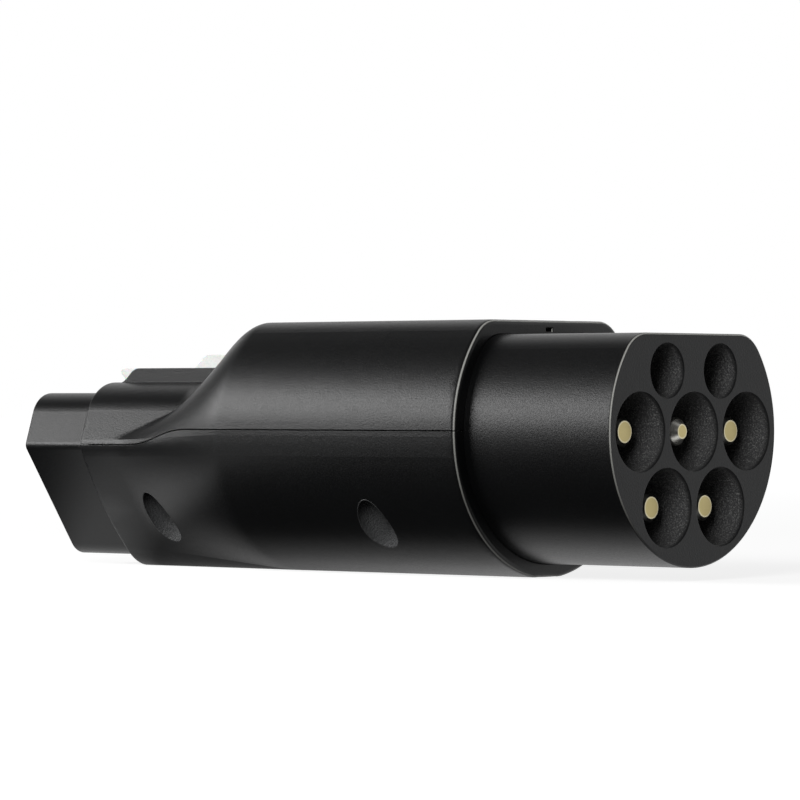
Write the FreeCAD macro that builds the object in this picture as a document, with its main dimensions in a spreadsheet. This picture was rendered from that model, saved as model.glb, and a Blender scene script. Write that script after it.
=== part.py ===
"""An EV charging adapter: a seven-pin Type 2 nose at one end and a five-contact plug at the other.

Millimetres. X runs along the adapter, towards the Type 2 face. Y runs across it and Z up.
The origin is under the middle of the adapter, on the surface it stands on. Heights of the
outlines are counted from the barrel axis, which lies axis_height above that surface.
"""
import FreeCAD, Part
import math
import os
import re

import Sketcher
from FreeCAD import Vector

SIZES = {
    # lengths along the adapter
    "nose_length": 37.8,
    "body_length": 113.8,
    "plug_length": 19.6,
    # outline of the Type 2 nose, a cylinder with a flat top
    "nose_radius": 27.75,
    "nose_flat": 19.95,
    "nose_corner": 8.0,
    "nose_edge": 0.3,
    # wells in the nose, and where their axes stand
    "well_radius": 8.13,
    "signal_well_radius": 5.66,
    "well_depth": 34.0,
    "nose_floor": 8.0,
    "nose_skirt": 8.0,
    "skirt_inset": 3.6,
    "middle_pitch": 17.72,
    "lower_pitch": 8.94,
    "lower_drop": 15.39,
    "signal_pitch": 8.88,
    "signal_rise": 12.34,
    # contacts of the nose
    "pin_radius": 3.0,
    "pin_chamfer": 0.76,
    "signal_chamfer": 0.5,
    "earth_chamfer": 1.5,
    "earth_round": 1.2,
    "pin_root": 0.2,
    "pin_setback": 4.0,
    "earth_setback": 3.0,
    "signal_radius": 1.5,
    "signal_setback": 10.0,
    "pin_flange": 4.5,
    "signal_flange": 3.2,
    "flange_width": 2.0,
    "barrel_radius": 3.5,
    "signal_barrel": 2.0,
    "barrel_length": 12.0,
    "crimp_depth": 9.0,
    # plates that hold the contacts
    "retainer_width": 3.0,
    "retainer_clearance": 0.2,
    "pin_clearance": 0.05,
    "tail_ease": 0.3,
    "retainer_screw_circle": 12.5,
    # housing walls, edges and the parting between the shells
    "housing_wall": 2.8,
    "rim_wall": 2.95,
    "barrel_foot_cut": 0.3,
    "barrel_corner_ease": 1.0,
    "rim_round": 1.0,
    "collar_wall": 2.25,
    "collar_round": 0.5,
    "bore_clearance": 0.1,
    "seam_gap": 0.2,
    "seam_low": 3.5,
    "step_start": 13.5,
    "step_length": 24.0,
    "lip_width": 1.1,
    "lip_height": 1.5,
    "lip_clearance": 0.15,
    # shoulder between the collar and the barrel
    "shoulder_start": 28.9,
    "shoulder_length": 22.8,
    "flank_start": 10.0,
    "flank_length": 38.0,
    "collar_corner_round": 9.0,
    "collar_waist_round": 4.2,
    "collar_foot_round": 8.0,
    "collar_bulge": 8.0,
    # outline of the plug, a shield with rounded corners
    "plug_height": 36.11,
    "plug_corner": 17.9,
    "plug_waist": 21.8,
    "plug_waist_drop": 11.86,
    "plug_foot": 5.5,
    "plug_corner_round": 6.0,
    "plug_waist_round": 2.0,
    "plug_foot_round": 4.7,
    "plug_edge": 0.6,
    # clamping groove, seal groove and skirt of both noses
    "clamp_start": 6.2,
    "clamp_width": 3.0,
    "clamp_depth": 1.55,
    "plug_clamp_start": 4.8,
    "plug_clamp_width": 2.0,
    "plug_clamp_depth": 1.2,
    "clamp_clearance": 0.1,
    "seal_start": 2.0,
    "seal_width": 2.2,
    "seal_depth": 1.3,
    "seal_clearance": 0.05,
    "plug_tail": 8.7,
    "plug_skirt": 5.0,
    "plug_skirt_inset": 2.3,
    "plug_face_wall": 2.0,
    "entry_clearance": 0.25,
    "entry_chamfer": 0.5,
    # contacts of the plug, and where their axes stand
    "power_pitch": 10.3,
    "power_drop": 0.6,
    "pilot_pitch": 8.2,
    "pilot_drop": 12.6,
    "earth_drop": 20.9,
    "power_bore": 4.0,
    "earth_bore": 3.0,
    "pilot_bore": 1.6,
    "socket_wall": 1.0,
    "pilot_wall": 0.9,
    "socket_clearance": 0.1,
    "socket_bore_depth": 20.0,
    "slit_width": 0.5,
    "slit_length": 9.0,
    "power_flange": 5.95,
    "earth_flange": 4.5,
    "pilot_flange": 3.3,
    "socket_barrel_length": 6.2,
    "socket_crimp_depth": 5.0,
    "plug_plate_width": 2.5,
    "plug_screw_rise": 1.8,
    "plug_screw_drop": 10.5,
    # screws
    "small_screw_radius": 1.25,
    "small_head_radius": 2.4,
    "small_head_height": 1.6,
    "retainer_screw_length": 10.5,
    "plug_screw_length": 9.0,
    "screw_radius": 1.5,
    "screw_head_radius": 2.8,
    "screw_head_height": 2.2,
    "screw_length": 15.5,
    "screw_tip_room": 0.5,
    "recess_radius": 4.2,
    "recess_wall": 1.2,
    "screw_seat": 9.0,
    "boss_radius": 3.2,
    "barrel_screw_start": 27.4,
    "barrel_screw_pitch": 23.0,
    "collar_screw_start": 17.3,
    "collar_screw_pitch": 15.75,
    # cheeks and latch
    "cheek_half_width": 13.5,
    "cheek_rise": 3.1,
    "cheek_start": 1.5,
    "cheek_ramp": 6.8,
    "cheek_length": 36.0,
    "latch_half_width": 5.0,
    "latch_side_clearance": 0.4,
    "pivot_start": 13.6,
    "pivot_rise": 0.6,
    "pivot_radius": 1.0,
    "pivot_clearance": 0.05,
    "hub_radius": 2.5,
    "hook_reach": 19.2,
    "pad_reach": 16.4,
    "pad_rise": 5.45,
    "pad_start": 3.4,
    "pad_ramp": 3.4,
    "pad_round": 4.0,
    "pad_end_round": 2.5,
    "bar_edge": 0.5,
    "bar_top": 2.55,
    "bar_bottom": 0.3,
    "hook_nose": 1.0,
    "hook_ramp": 2.8,
    "hook_foot": 1.5,
    "hook_depth": 1.3,
    "spring_post": 1.3,
    "post_height": 1.0,
    "cheek_embed": 1.0,
    "ramp_sink": 0.2,
    "pivot_end": 3.2,
    "latch_well_depth": 4.5,
    "latch_well_wall": 1.8,
    "latch_well_front": 3.0,
    "latch_well_back": 19.0,
    "spring_radius": 2.0,
    "spring_wire": 0.25,
    "spring_reach": 10.2,
    "spring_turns": 4.0,
    # leads
    "lead_radius": 2.2,
    "signal_lead_radius": 1.2,
    "crimp_clearance": 0.05,
    "power_straight": 2.1,
    "power_join": 3.0,
    "power_detour": 18.0,
    "power_detour_across": 8.6,
    "power_detour_drop": 0.5,
    "middle_straight": 7.6,
    "middle_join": 10.0,
    "signal_across": 6.5,
    "signal_crest_run": 23.6,
    "signal_crest": 9.0,
    "signal_foot_run": 32.0,
    "signal_foot": 9.5,
    "resistor_radius": 2.4,
    "resistor_length": 9.0,
    # notch in the rim
    "notch_width": 2.5,
    "notch_height": 0.9,
    "notch_depth": 3.0,
    "notch_rise": 0.65,
}

doc = FreeCAD.newDocument("ev_charging_adapter")
sheet = doc.addObject("Spreadsheet::Sheet", "Sizes")
for row, (alias, value) in enumerate(SIZES.items(), start=1):
    sheet.set(f"A{row}", alias)
    sheet.set(f"B{row}", str(value))
    sheet.setAlias(f"B{row}", alias)
doc.recompute()
CELLS = {alias: f"Sizes.{alias}" for alias in SIZES}
# the barrel axis stands as high as the barrel's radius, less what its flat foot takes off
CELLS["axis_height"] = (
    "({nose_radius} + {bore_clearance} + {rim_wall} - {barrel_foot_cut})".format(**CELLS)
)

# places that follow from the sizes, as expressions on the sheet
FACE_X = "(nose_length + body_length + plug_length) / 2"
RIM_X = f"({FACE_X} - nose_length)"
COLLAR_X = f"({RIM_X} - body_length)"
TIP_X = f"({COLLAR_X} - plug_length)"
PLUG_FOOT_Z = "(bore_clearance + collar_wall - axis_height)"
PLUG_TOP_Z = f"({PLUG_FOOT_Z} + plug_height)"
PLUG_WAIST_Z = f"({PLUG_TOP_Z} - plug_waist_drop)"
BARREL_RADIUS = "(nose_radius + bore_clearance + rim_wall)"
BARREL_TOP = "(nose_flat + bore_clearance + rim_wall)"
PIVOT_X = f"({COLLAR_X} + pivot_start)"
PIVOT_Z = f"(axis_height + {PLUG_TOP_Z} + bore_clearance + collar_wall + pivot_rise)"


def bound(expression):
    """Return an expression with every size written as a cell of the sheet."""
    return re.sub(r"[a-z][a-z_0-9]*", lambda word: CELLS.get(word.group(), word.group()), expression)


def number(expression):
    """Return what an expression comes to, in millimetres or degrees."""
    return float(sheet.evalExpression(bound(expression)))


def bind(item, **properties):
    """Tie properties of a document object to expressions on the sheet."""
    for name, expression in properties.items():
        item.setExpression(name.replace("_at_", "."), bound(expression))


def place(item, along, across="0", up="axis_height"):
    """Put a sub-part at a point given by three expressions."""
    for axis, expression in zip("xyz", (along, across, up)):
        item.setExpression(f"Placement.Base.{axis}", bound(expression))


# where the curves of the barrel's outline meet, as angles below the horizontal
WAIST_TOP_ANGLE = math.radians(-2)
WAIST_FOOT_ANGLE = math.radians(-10)
# the circle eases into its flat foot a little before it would meet the ground
FOOT_EASE = 1.12
# what is cut from a solid's skin starts this far outside it
CUT_OVERRUN = 1.0


# outlines across the adapter: lists of joints (across, up, heading) joined by even curves


def stepped(spot, way, reach):
    """Return the (across, up) point this far from a spot along a heading."""
    return spot[0] + reach * math.cos(way), spot[1] + reach * math.sin(way)


def heading(start, end):
    """Return the angle of the line between two (across, up) points."""
    return math.atan2(end[1] - start[1], end[0] - start[0])


def corner_turn(before, corner, after):
    """Return the heading into a corner and how far the outline turns there."""
    way_in = heading(before, corner)
    return way_in, math.remainder(heading(corner, after) - way_in, math.tau)


def rounded_corner(before, corner, after, radius, bulge_in=0.0, bulge_out=0.0):
    """Return the two joints at which a round of this radius leaves the sides of a corner."""
    way_in, turn = corner_turn(before, corner, after)
    way_out = way_in + turn
    reach = radius * math.tan(abs(turn) / 2)
    return [
        (*stepped(corner, way_in, -reach), way_in - bulge_in),
        (*stepped(corner, way_out, reach), way_out + bulge_out),
    ]


def offset_corners(corners, distance):
    """Move every side of an outline outwards, and return its new corners."""
    moved = []
    for before, corner, after in zip(corners, corners[1:], corners[2:]):
        way_in, turn = corner_turn(before, corner, after)
        reach = distance / math.cos(turn / 2)
        moved.append(stepped(corner, way_in + turn / 2 + math.pi / 2, reach))
    return [(0.0, moved[0][1])] + moved + [(0.0, moved[-1][1])]


def plug_corners(distance=0.0):
    """Return the corners of the plug's right half, from its top to its foot."""
    corners = [
        (0.0, number(PLUG_TOP_Z)),
        (number("plug_corner"), number(PLUG_TOP_Z)),
        (number("plug_waist"), number(PLUG_WAIST_Z)),
        (number("plug_foot"), number(PLUG_FOOT_Z)),
        (0.0, number(PLUG_FOOT_Z)),
    ]
    return offset_corners(corners, distance) if distance else corners


def collar_joints():
    """Return the joints of the collar's right half: the plug's outline moved out and softened."""
    corners = plug_corners(number("bore_clearance + collar_wall"))
    bulge = math.radians(number("collar_bulge"))
    top = rounded_corner(*corners[0:3], number("collar_corner_round"))
    waist = rounded_corner(*corners[1:4], number("collar_waist_round"), bulge_out=bulge)
    foot = rounded_corner(*corners[2:5], number("collar_foot_round"), bulge_in=bulge)
    return top + waist + foot


def barrel_joints():
    """Return the joints of the barrel's right half: a circle with a flat top and a small flat foot."""
    radius = number(BARREL_RADIUS)
    flat = number(BARREL_TOP)
    corner = number("nose_corner - barrel_corner_ease")
    across = math.sqrt((radius - corner) ** 2 - (flat - corner) ** 2)
    fillet_end = math.atan2(flat - corner, across)
    joints = [(across, flat, 0.0)]
    turn = FOOT_EASE * math.acos(number("axis_height") / radius)
    for angle in (fillet_end, WAIST_TOP_ANGLE, WAIST_FOOT_ANGLE, turn - math.pi / 2):
        joints.append((*stepped((0.0, 0.0), angle, radius), angle - math.pi / 2))
    drop = number("axis_height") - radius * math.cos(turn)
    blend = drop / (1 - math.cos(turn))
    joints.append((joints[-1][0] - blend * math.sin(turn), -number("axis_height"), -math.pi))
    return joints


def curve_poles(start, end):
    """Return the four poles of the even curve between two joints."""
    turn = abs(math.remainder(start[2] - end[2], math.tau))
    chord = math.hypot(end[0] - start[0], end[1] - start[1])
    handle = chord / 3
    if turn > 1e-6:
        handle = chord * 2 / 3 * math.tan(turn / 4) / math.sin(turn / 2)
    return [
        start[:2],
        stepped(start, start[2], handle),
        stepped(end, end[2], -handle),
        end[:2],
    ]


def ring_poles(joints, inset=0.0):
    """Return the poles of every curve round a whole outline, moved inwards by the inset."""
    right = [
        (across + inset * math.sin(way), up - inset * math.cos(way), way)
        for across, up, way in joints
    ]
    left = [(-across, up, -way) for across, up, way in reversed(right)]
    ring = left + right
    return [curve_poles(a, b) for a, b in zip(ring, ring[1:] + ring[:1])]


# housing forms: closed solids whose outline turns from the collar's into the barrel's

FLANK_SHARES = (0.0, 0.13, 1.0, 1.0, 1.0, 1.0)
QUARTER_HANDLE = 0.5523


def between(first, second, share):
    """Return the value that lies this share of the way from the first to the second."""
    return first + (second - first) * share


def flank_shares():
    """Return, for every pole of the ring, how far it follows the flanks and not the shoulder."""
    ring = list(reversed(FLANK_SHARES)) + list(FLANK_SHARES)
    return [
        [between(a, b, step / 3) for step in range(4)]
        for a, b in zip(ring, ring[1:] + ring[:1])
    ]


def housing_form(start, end, inset=0.0, start_round=0.0, end_round=0.0):
    """Return the solid inside the housing's outline, moved inwards, between two places along it.

    Every strip of its skin runs along the adapter: straight on the collar, in an S over the
    shoulder and straight on the barrel, with a quarter round at either end where one is given.
    A span's two handles are a third of its length in knots, so that the strips stay smooth.
    """
    rise_start = [number(f"{COLLAR_X} + {side}_start") for side in ("shoulder", "flank")]
    rise_end = [
        number(f"{COLLAR_X} + {side}_start + {side}_length") for side in ("shoulder", "flank")
    ]
    collar = min(rise_start) - start - start_round
    rise = min(after - before for before, after in zip(rise_start, rise_end))
    barrel = end - end_round - max(rise_end)
    rows = quarter_rows(0, start, 1, inset, start_round) + [
        (0, [start + start_round + collar / 3] * 2, inset),
        (0, [spot - collar / 3 for spot in rise_start], inset),
        (0, [spot + rise / 3 for spot in rise_start], inset),
        (1, [spot - rise / 3 for spot in rise_end], inset),
        (1, [spot + barrel / 3 for spot in rise_end], inset),
        (1, [end - end_round - barrel / 3] * 2, inset),
    ] + quarter_rows(1, end, -1, inset, end_round)[::-1]
    rounds = [3 * QUARTER_HANDLE * size for size in (start_round, end_round)]
    spans = [span for span in (rounds[0], collar, rise, barrel, rounds[1]) if span]
    return skinned([row_poles(*row) for row in rows], spans)


def quarter_rows(weight, spot, way, inset, size):
    """Return the rows of an end's quarter round, from the end face out to the skin."""
    if not size:
        return [(weight, [spot] * 2, inset)]
    handle = (1 - QUARTER_HANDLE) * size
    return [
        (weight, [spot] * 2, inset + size),
        (weight, [spot] * 2, inset + handle),
        (weight, [spot + way * handle] * 2, inset),
    ]


def row_poles(weight, ends, inset):
    """Return one row of skin poles, on the collar's outline or the barrel's.

    Its places along the adapter run from the first of its ends, over the shoulder, to the
    second, on the flanks.
    """
    joints = barrel_joints() if weight else collar_joints()
    return [
        [Vector(between(*ends, share), *pole) for pole, share in zip(curve, shares)]
        for curve, shares in zip(ring_poles(joints, inset), flank_shares())
    ]


def skinned(rows, spans):
    """Return the solid whose skin strips follow rows of poles, two rows to each joint of spans."""
    knots = [sum(spans[:count]) for count in range(len(spans) + 1)]
    counts = [4] + [2] * (len(spans) - 1) + [4]
    faces = []
    for strip in range(len(rows[0])):
        surface = Part.BSplineSurface()
        surface.buildFromPolesMultsKnots(
            [row[strip] for row in rows], counts, [4, 4], knots, [0, 1], False, False, 3, 3
        )
        faces.append(surface.toShape())
    for row in (rows[0], rows[-1]):
        edges = []
        for poles in row:
            curve = Part.BezierCurve()
            curve.setPoles(poles)
            edges.append(curve.toShape())
        faces.append(Part.Face(Part.Wire(edges)))
    shell = Part.makeShell(faces)
    shell.sewShape()
    solid = Part.makeSolid(shell)
    if solid.Volume < 0:
        solid.reverse()
    return solid.translated(Vector(0, 0, number("axis_height")))


# features of the machined and moulded pieces


def new_body(name, along, across="0", up="axis_height"):
    """Return a new body that stands at a point given by three expressions."""
    body = doc.addObject("PartDesign::Body", name)
    body.Label = name
    place(body, along, across, up)
    return body


def new_sketch(body, plane, name, raised="0"):
    """Return a sketch on one of the body's own planes, raised off it along its normal."""
    support = next(item for item in body.Origin.OriginFeatures if item.Role == plane)
    sketch = body.newObject("Sketcher::SketchObject", f"{body.Name}_{name}")
    sketch.AttachmentSupport = [(support, "")]
    sketch.MapMode = "FlatFace"
    sketch.setExpression("AttachmentOffset.Base.z", bound(raised))
    return sketch


def fix_length(sketch, kind, *reference, length):
    """Add a dimension to a sketch, bound to an expression."""
    index = sketch.addConstraint(Sketcher.Constraint(kind, *reference, number(length)))
    sketch.setExpression(f"Constraints[{index}]", bound(length))


def fix_point(sketch, item, point, across, up):
    """Hold a point of a sketch at two bound distances from the origin, or on an axis."""
    for kind, axis, distance in (("DistanceX", -2, across), ("DistanceY", -1, up)):
        if distance == "0":
            sketch.addConstraint(Sketcher.Constraint("PointOnObject", item, point, axis))
        else:
            fix_length(sketch, kind, -1, 1, item, point, length=distance)


def add_circle(sketch, across, up, radius):
    """Draw a circle with a bound centre and radius."""
    centre = Vector(number(across), number(up), 0)
    item = sketch.addGeometry(Part.Circle(centre, Vector(0, 0, 1), number(radius)), False)
    fix_point(sketch, item, 3, across, up)
    fix_length(sketch, "Radius", item, length=radius)


def add_polygon(sketch, points):
    """Draw a closed outline of straight lines through bound points."""
    spots = [Vector(number(across), number(up), 0) for across, up in points]
    lines = [
        sketch.addGeometry(Part.LineSegment(a, b), False)
        for a, b in zip(spots, spots[1:] + spots[:1])
    ]
    for line, following in zip(lines, lines[1:] + lines[:1]):
        sketch.addConstraint(Sketcher.Constraint("Coincident", line, 2, following, 1))
    for line, (across, up) in zip(lines, points):
        fix_point(sketch, line, 1, across, up)


def add_rectangle(sketch, left, right, low, high):
    """Draw a rectangle between four bound sides."""
    add_polygon(sketch, [(left, low), (right, low), (right, high), (left, high)])


def add_flat_circle(sketch, radius, flat):
    """Draw a circle whose top is cut off by a flat at a bound height."""
    size, up = number(radius), number(flat)
    lift = math.asin(up / size)
    circle = Part.Circle(Vector(0, 0, 0), Vector(0, 0, 1), size)
    arc = sketch.addGeometry(Part.ArcOfCircle(circle, math.pi - lift, math.tau + lift), False)
    half = size * math.cos(lift)
    line = sketch.addGeometry(Part.LineSegment(Vector(half, up, 0), Vector(-half, up, 0)), False)
    sketch.addConstraint(Sketcher.Constraint("Coincident", arc, 3, -1, 1))
    sketch.addConstraint(Sketcher.Constraint("Coincident", arc, 2, line, 1))
    sketch.addConstraint(Sketcher.Constraint("Coincident", line, 2, arc, 1))
    sketch.addConstraint(Sketcher.Constraint("Horizontal", line))
    fix_length(sketch, "Radius", arc, length=radius)
    fix_length(sketch, "DistanceY", -1, 1, line, 1, length=flat)


def raise_pad(sketch, name, length, backwards=False):
    """Add material from a sketch over a bound length."""
    body = sketch.getParentGeoFeatureGroup()
    pad = body.newObject("PartDesign::Pad", f"{body.Name}_{name}")
    pad.Profile = sketch
    pad.Reversed = backwards
    bind(pad, Length=length)
    doc.recompute()
    return pad


def sink_pocket(sketch, name, length, backwards=False):
    """Cut a sketch into its body over a bound length, and make sure that it took material."""
    body = sketch.getParentGeoFeatureGroup()
    before = body.Shape.Volume
    pocket = body.newObject("PartDesign::Pocket", f"{body.Name}_{name}")
    pocket.Profile = sketch
    pocket.Reversed = backwards
    bind(pocket, Length=length)
    doc.recompute()
    if not pocket.Shape.Volume < before:
        raise RuntimeError(f"{pocket.Name} cuts nothing")
    return pocket


def dress_edges(body, kind, name, size, wanted):
    """Fillet or chamfer the edges of a body that a test picks out."""
    base = body.Tip
    edges = [f"Edge{i}" for i, edge in enumerate(base.Shape.Edges, start=1) if wanted(edge)]
    dress = body.newObject(f"PartDesign::{kind}", f"{body.Name}_{name}")
    dress.Base = (base, edges)
    bind(dress, **{"Radius" if kind == "Fillet" else "Size": size})
    doc.recompute()
    return dress


def runs_along(edge, axis):
    """Tell whether a straight edge runs along one of the axes: 0 for X, 1 for Y, 2 for Z."""
    if edge.Curve.TypeId != "Part::GeomLine":
        return False
    return abs(abs(edge.Curve.Direction[axis]) - 1) < 1e-6


def lies_at(edge, axis, value):
    """Tell whether a whole edge lies at one value of an axis."""
    low = (edge.BoundBox.XMin, edge.BoundBox.YMin, edge.BoundBox.ZMin)[axis]
    high = (edge.BoundBox.XMax, edge.BoundBox.YMax, edge.BoundBox.ZMax)[axis]
    return abs(low - value) < 1e-4 and abs(high - value) < 1e-4


def turn_body(body, name, points):
    """Revolve a closed outline of (along, radius) points about the body's own X axis."""
    sketch = new_sketch(body, "XZ_Plane", name)
    add_polygon(sketch, points)
    turned = body.newObject("PartDesign::Revolution", f"{body.Name}_turned")
    turned.Profile = sketch
    turned.ReferenceAxis = (sketch, ["H_Axis"])
    turned.Angle = 360
    doc.recompute()
    return turned


# the Type 2 nose

NOSE_FLOOR_X = "(well_depth + nose_floor)"
NOSE_BACK_X = f"({NOSE_FLOOR_X} + nose_skirt)"
POWER_WELLS = {
    "live_1_pin": ("middle_pitch", "0"),
    "neutral_pin": ("-middle_pitch", "0"),
    "earth_pin": ("0", "0"),
    "live_2_pin": ("lower_pitch", "-lower_drop"),
    "live_3_pin": ("-lower_pitch", "-lower_drop"),
}
SIGNAL_WELLS = {
    "control_pilot_pin": ("signal_pitch", "signal_rise"),
    "proximity_pin": ("-signal_pitch", "signal_rise"),
}


def retainer_screw_places():
    """Return the bound places of the three screws that hold the pin retainer."""
    return [
        (f"retainer_screw_circle * cos({angle} deg)", f"retainer_screw_circle * sin({angle} deg)")
        for angle in (90, 210, 330)
    ]


def flat_cylinder(body, radius, flat, corner, length):
    """Build a cylinder with a flat top and rounded corners, from the body's origin backwards."""
    round_bar = new_sketch(body, "YZ_Plane", "round")
    add_circle(round_bar, "0", "0", radius)
    raise_pad(round_bar, "bar", length, backwards=True)
    above = new_sketch(body, "YZ_Plane", "above")
    add_rectangle(above, f"-{radius}", radius, flat, radius)
    sink_pocket(above, "flat", length)
    level = number(flat)
    dress_edges(body, "Fillet", "corners", corner,
                lambda edge: runs_along(edge, 0) and lies_at(edge, 2, level))


def cut_groove(body, name, start, width, inset):
    """Cut a groove round the nose, down to its outline moved inwards."""
    sketch = new_sketch(body, "YZ_Plane", name, f"-({start})")
    add_circle(sketch, "0", "0", f"nose_radius + {CUT_OVERRUN}")
    add_flat_circle(sketch, f"nose_radius - {inset}", f"nose_flat - {inset}")
    sink_pocket(sketch, f"{name}_groove", width)


def make_type2_nose():
    """Build the seven-well insulator that the charging cable's connector slides over."""
    body = new_body("type2_nose", FACE_X)
    flat_cylinder(body, "nose_radius", "nose_flat", "nose_corner", NOSE_BACK_X)
    dress_edges(body, "Chamfer", "edge", "nose_edge", lambda edge: lies_at(edge, 0, 0))
    wells = new_sketch(body, "YZ_Plane", "wells")
    for across, up in POWER_WELLS.values():
        add_circle(wells, across, up, "well_radius")
    for across, up in SIGNAL_WELLS.values():
        add_circle(wells, across, up, "signal_well_radius")
    sink_pocket(wells, "well", "well_depth")
    holes = new_sketch(body, "YZ_Plane", "holes", "-well_depth")
    for across, up in POWER_WELLS.values():
        add_circle(holes, across, up, "pin_radius + pin_root + pin_clearance")
    for across, up in SIGNAL_WELLS.values():
        add_circle(holes, across, up, "signal_radius + pin_root + pin_clearance")
    sink_pocket(holes, "hole", "nose_floor")
    skirt = new_sketch(body, "YZ_Plane", "skirt", f"-{NOSE_BACK_X}")
    add_flat_circle(skirt, "nose_radius - skirt_inset", "nose_flat - skirt_inset")
    sink_pocket(skirt, "back", "nose_skirt", backwards=True)
    screws = new_sketch(body, "YZ_Plane", "screws", f"-{NOSE_FLOOR_X}")
    for across, up in retainer_screw_places():
        add_circle(screws, across, up, "small_screw_radius + pin_clearance")
    sink_pocket(screws, "screw_hole",
                "retainer_screw_length - retainer_width - flange_width + screw_tip_room", backwards=True)
    cut_groove(body, "seal", "nose_length + seal_start", "seal_width", "seal_depth")
    cut_groove(body, "clamp", "nose_length + clamp_start", "clamp_width", "clamp_depth")
    tail = "nose_length + clamp_start + clamp_width"
    cut_groove(body, "tail", tail, f"{NOSE_BACK_X} - ({tail})", "tail_ease")
    return body


def make_pin(name, across, up, radius, setback, chamfer, flange, barrel, lead):
    """Turn one contact pin: tip, shank, root in the floor, flange behind it and crimp barrel."""
    body = new_body(name, FACE_X, across, f"axis_height + ({up})")
    flange_x = f"{NOSE_FLOOR_X} + flange_width"
    end_x = f"{flange_x} + barrel_length"
    turn_body(body, "profile", [
        (f"-{setback}", "0"),
        (f"-{setback}", f"{radius} - {chamfer}"),
        (f"-({setback} + {chamfer})", radius),
        ("-well_depth", radius),
        ("-well_depth", f"{radius} + pin_root"),
        (f"-{NOSE_FLOOR_X}", f"{radius} + pin_root"),
        (f"-{NOSE_FLOOR_X}", flange),
        (f"-({flange_x})", flange),
        (f"-({flange_x})", barrel),
        (f"-({end_x})", barrel),
        (f"-({end_x})", f"{lead} + crimp_clearance"),
        (f"-({end_x} - crimp_depth)", f"{lead} + crimp_clearance"),
        (f"-({end_x} - crimp_depth)", "0"),
    ])
    return body


def make_pins():
    """Turn the five power pins and the two signal pins of the nose."""
    pins = []
    for name, (across, up) in POWER_WELLS.items():
        kind = "earth" if name == "earth_pin" else "pin"
        pins.append(make_pin(name, across, up, "pin_radius", f"{kind}_setback", f"{kind}_chamfer",
                             "pin_flange", "barrel_radius", "lead_radius"))
        if kind == "earth":
            shoulder = -number("earth_setback + earth_chamfer")
            dress_edges(pins[-1], "Fillet", "shoulder", "earth_round",
                        lambda edge: lies_at(edge, 0, shoulder))
    for name, (across, up) in SIGNAL_WELLS.items():
        pins.append(make_pin(name, across, up, "signal_radius", "signal_setback", "signal_chamfer",
                             "signal_flange", "signal_barrel", "signal_lead_radius"))
    return pins


def make_pin_retainer():
    """Build the plate in the nose's skirt that presses on the pin flanges."""
    body = new_body("pin_retainer", f"{FACE_X} - {NOSE_FLOOR_X} - flange_width")
    inset = "(skirt_inset + retainer_clearance)"
    plate = new_sketch(body, "YZ_Plane", "plate")
    add_flat_circle(plate, f"nose_radius - {inset}", f"nose_flat - {inset}")
    raise_pad(plate, "web", "retainer_width", backwards=True)
    holes = new_sketch(body, "YZ_Plane", "holes")
    for across, up in POWER_WELLS.values():
        add_circle(holes, across, up, "barrel_radius + retainer_clearance")
    for across, up in SIGNAL_WELLS.values():
        add_circle(holes, across, up, "signal_barrel + retainer_clearance")
    for across, up in retainer_screw_places():
        add_circle(holes, across, up, "small_screw_radius + retainer_clearance")
    sink_pocket(holes, "hole", "retainer_width")
    return body


def make_nose_seal():
    """Build the seal ring between the nose and the housing, just inside the rim."""
    body = new_body("nose_seal", f"{RIM_X} - seal_start - seal_clearance")
    proud = "bore_clearance - seal_clearance"
    width = "(seal_width - 2 * seal_clearance)"
    flat_cylinder(body, f"(nose_radius + {proud})", f"(nose_flat + {proud})", "nose_corner", width)
    bore = new_sketch(body, "YZ_Plane", "bore")
    inset = "(seal_depth - seal_clearance)"
    add_flat_circle(bore, f"nose_radius - {inset}", f"nose_flat - {inset}")
    sink_pocket(bore, "bore_cut", width)
    return body


# the plug

PLUG_BACK_X = "(plug_length + plug_tail)"
PLUG_FLOOR_X = f"({PLUG_BACK_X} - plug_skirt)"
SOCKETS = {
    "live_socket": ("power_pitch", "-power_drop", "power"),
    "neutral_socket": ("-power_pitch", "-power_drop", "power"),
    "earth_socket": ("0", "-earth_drop", "earth"),
    "pilot_socket": ("pilot_pitch", "-pilot_drop", "pilot"),
    "proximity_socket": ("-pilot_pitch", "-pilot_drop", "pilot"),
}
SOCKET_WALLS = {"power": "socket_wall", "earth": "pilot_wall", "pilot": "pilot_wall"}
SOCKET_BARRELS = {
    "power": ("barrel_radius", "lead_radius"),
    "earth": ("barrel_radius", "lead_radius"),
    "pilot": ("signal_barrel", "signal_lead_radius"),
}
PLUG_SCREWS = (("0", "plug_screw_rise"), ("0", "-plug_screw_drop"))


def socket_radius(kind):
    """Return the outer radius of a socket of this kind, as an expression."""
    return f"({kind}_bore + {SOCKET_WALLS[kind]})"


def corner_arc(before, corner, after, radius):
    """Return the start, middle and end of the arc that rounds a corner of a clockwise outline."""
    way_in, turn = corner_turn(before, corner, after)
    start, end = rounded_corner(before, corner, after, radius)
    inwards = way_in + turn / 2 - math.pi / 2
    middle = stepped(corner, inwards, radius * (1 / math.cos(turn / 2) - 1))
    return [Vector(0, *spot) for spot in (start[:2], middle, end[:2])]


def rounded_wire(corners, rounds):
    """Return the closed outline of mirrored corners, each with its round, across the adapter."""
    right = [corner for corner in corners if corner[0] > 0]
    ring = right + [(-across, up) for across, up in reversed(right)]
    radii = list(rounds) + list(reversed(rounds))
    arcs = [
        corner_arc(before, corner, after, radius)
        for before, corner, after, radius in zip(ring[-1:] + ring, ring, ring[1:] + ring[:1], radii)
    ]
    edges = []
    for (start, middle, end), following in zip(arcs, arcs[1:] + arcs[:1]):
        if start != end:
            edges.append(Part.Arc(start, middle, end).toShape())
        edges.append(Part.LineSegment(end, following[0]).toShape())
    return Part.Wire(edges)


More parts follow.
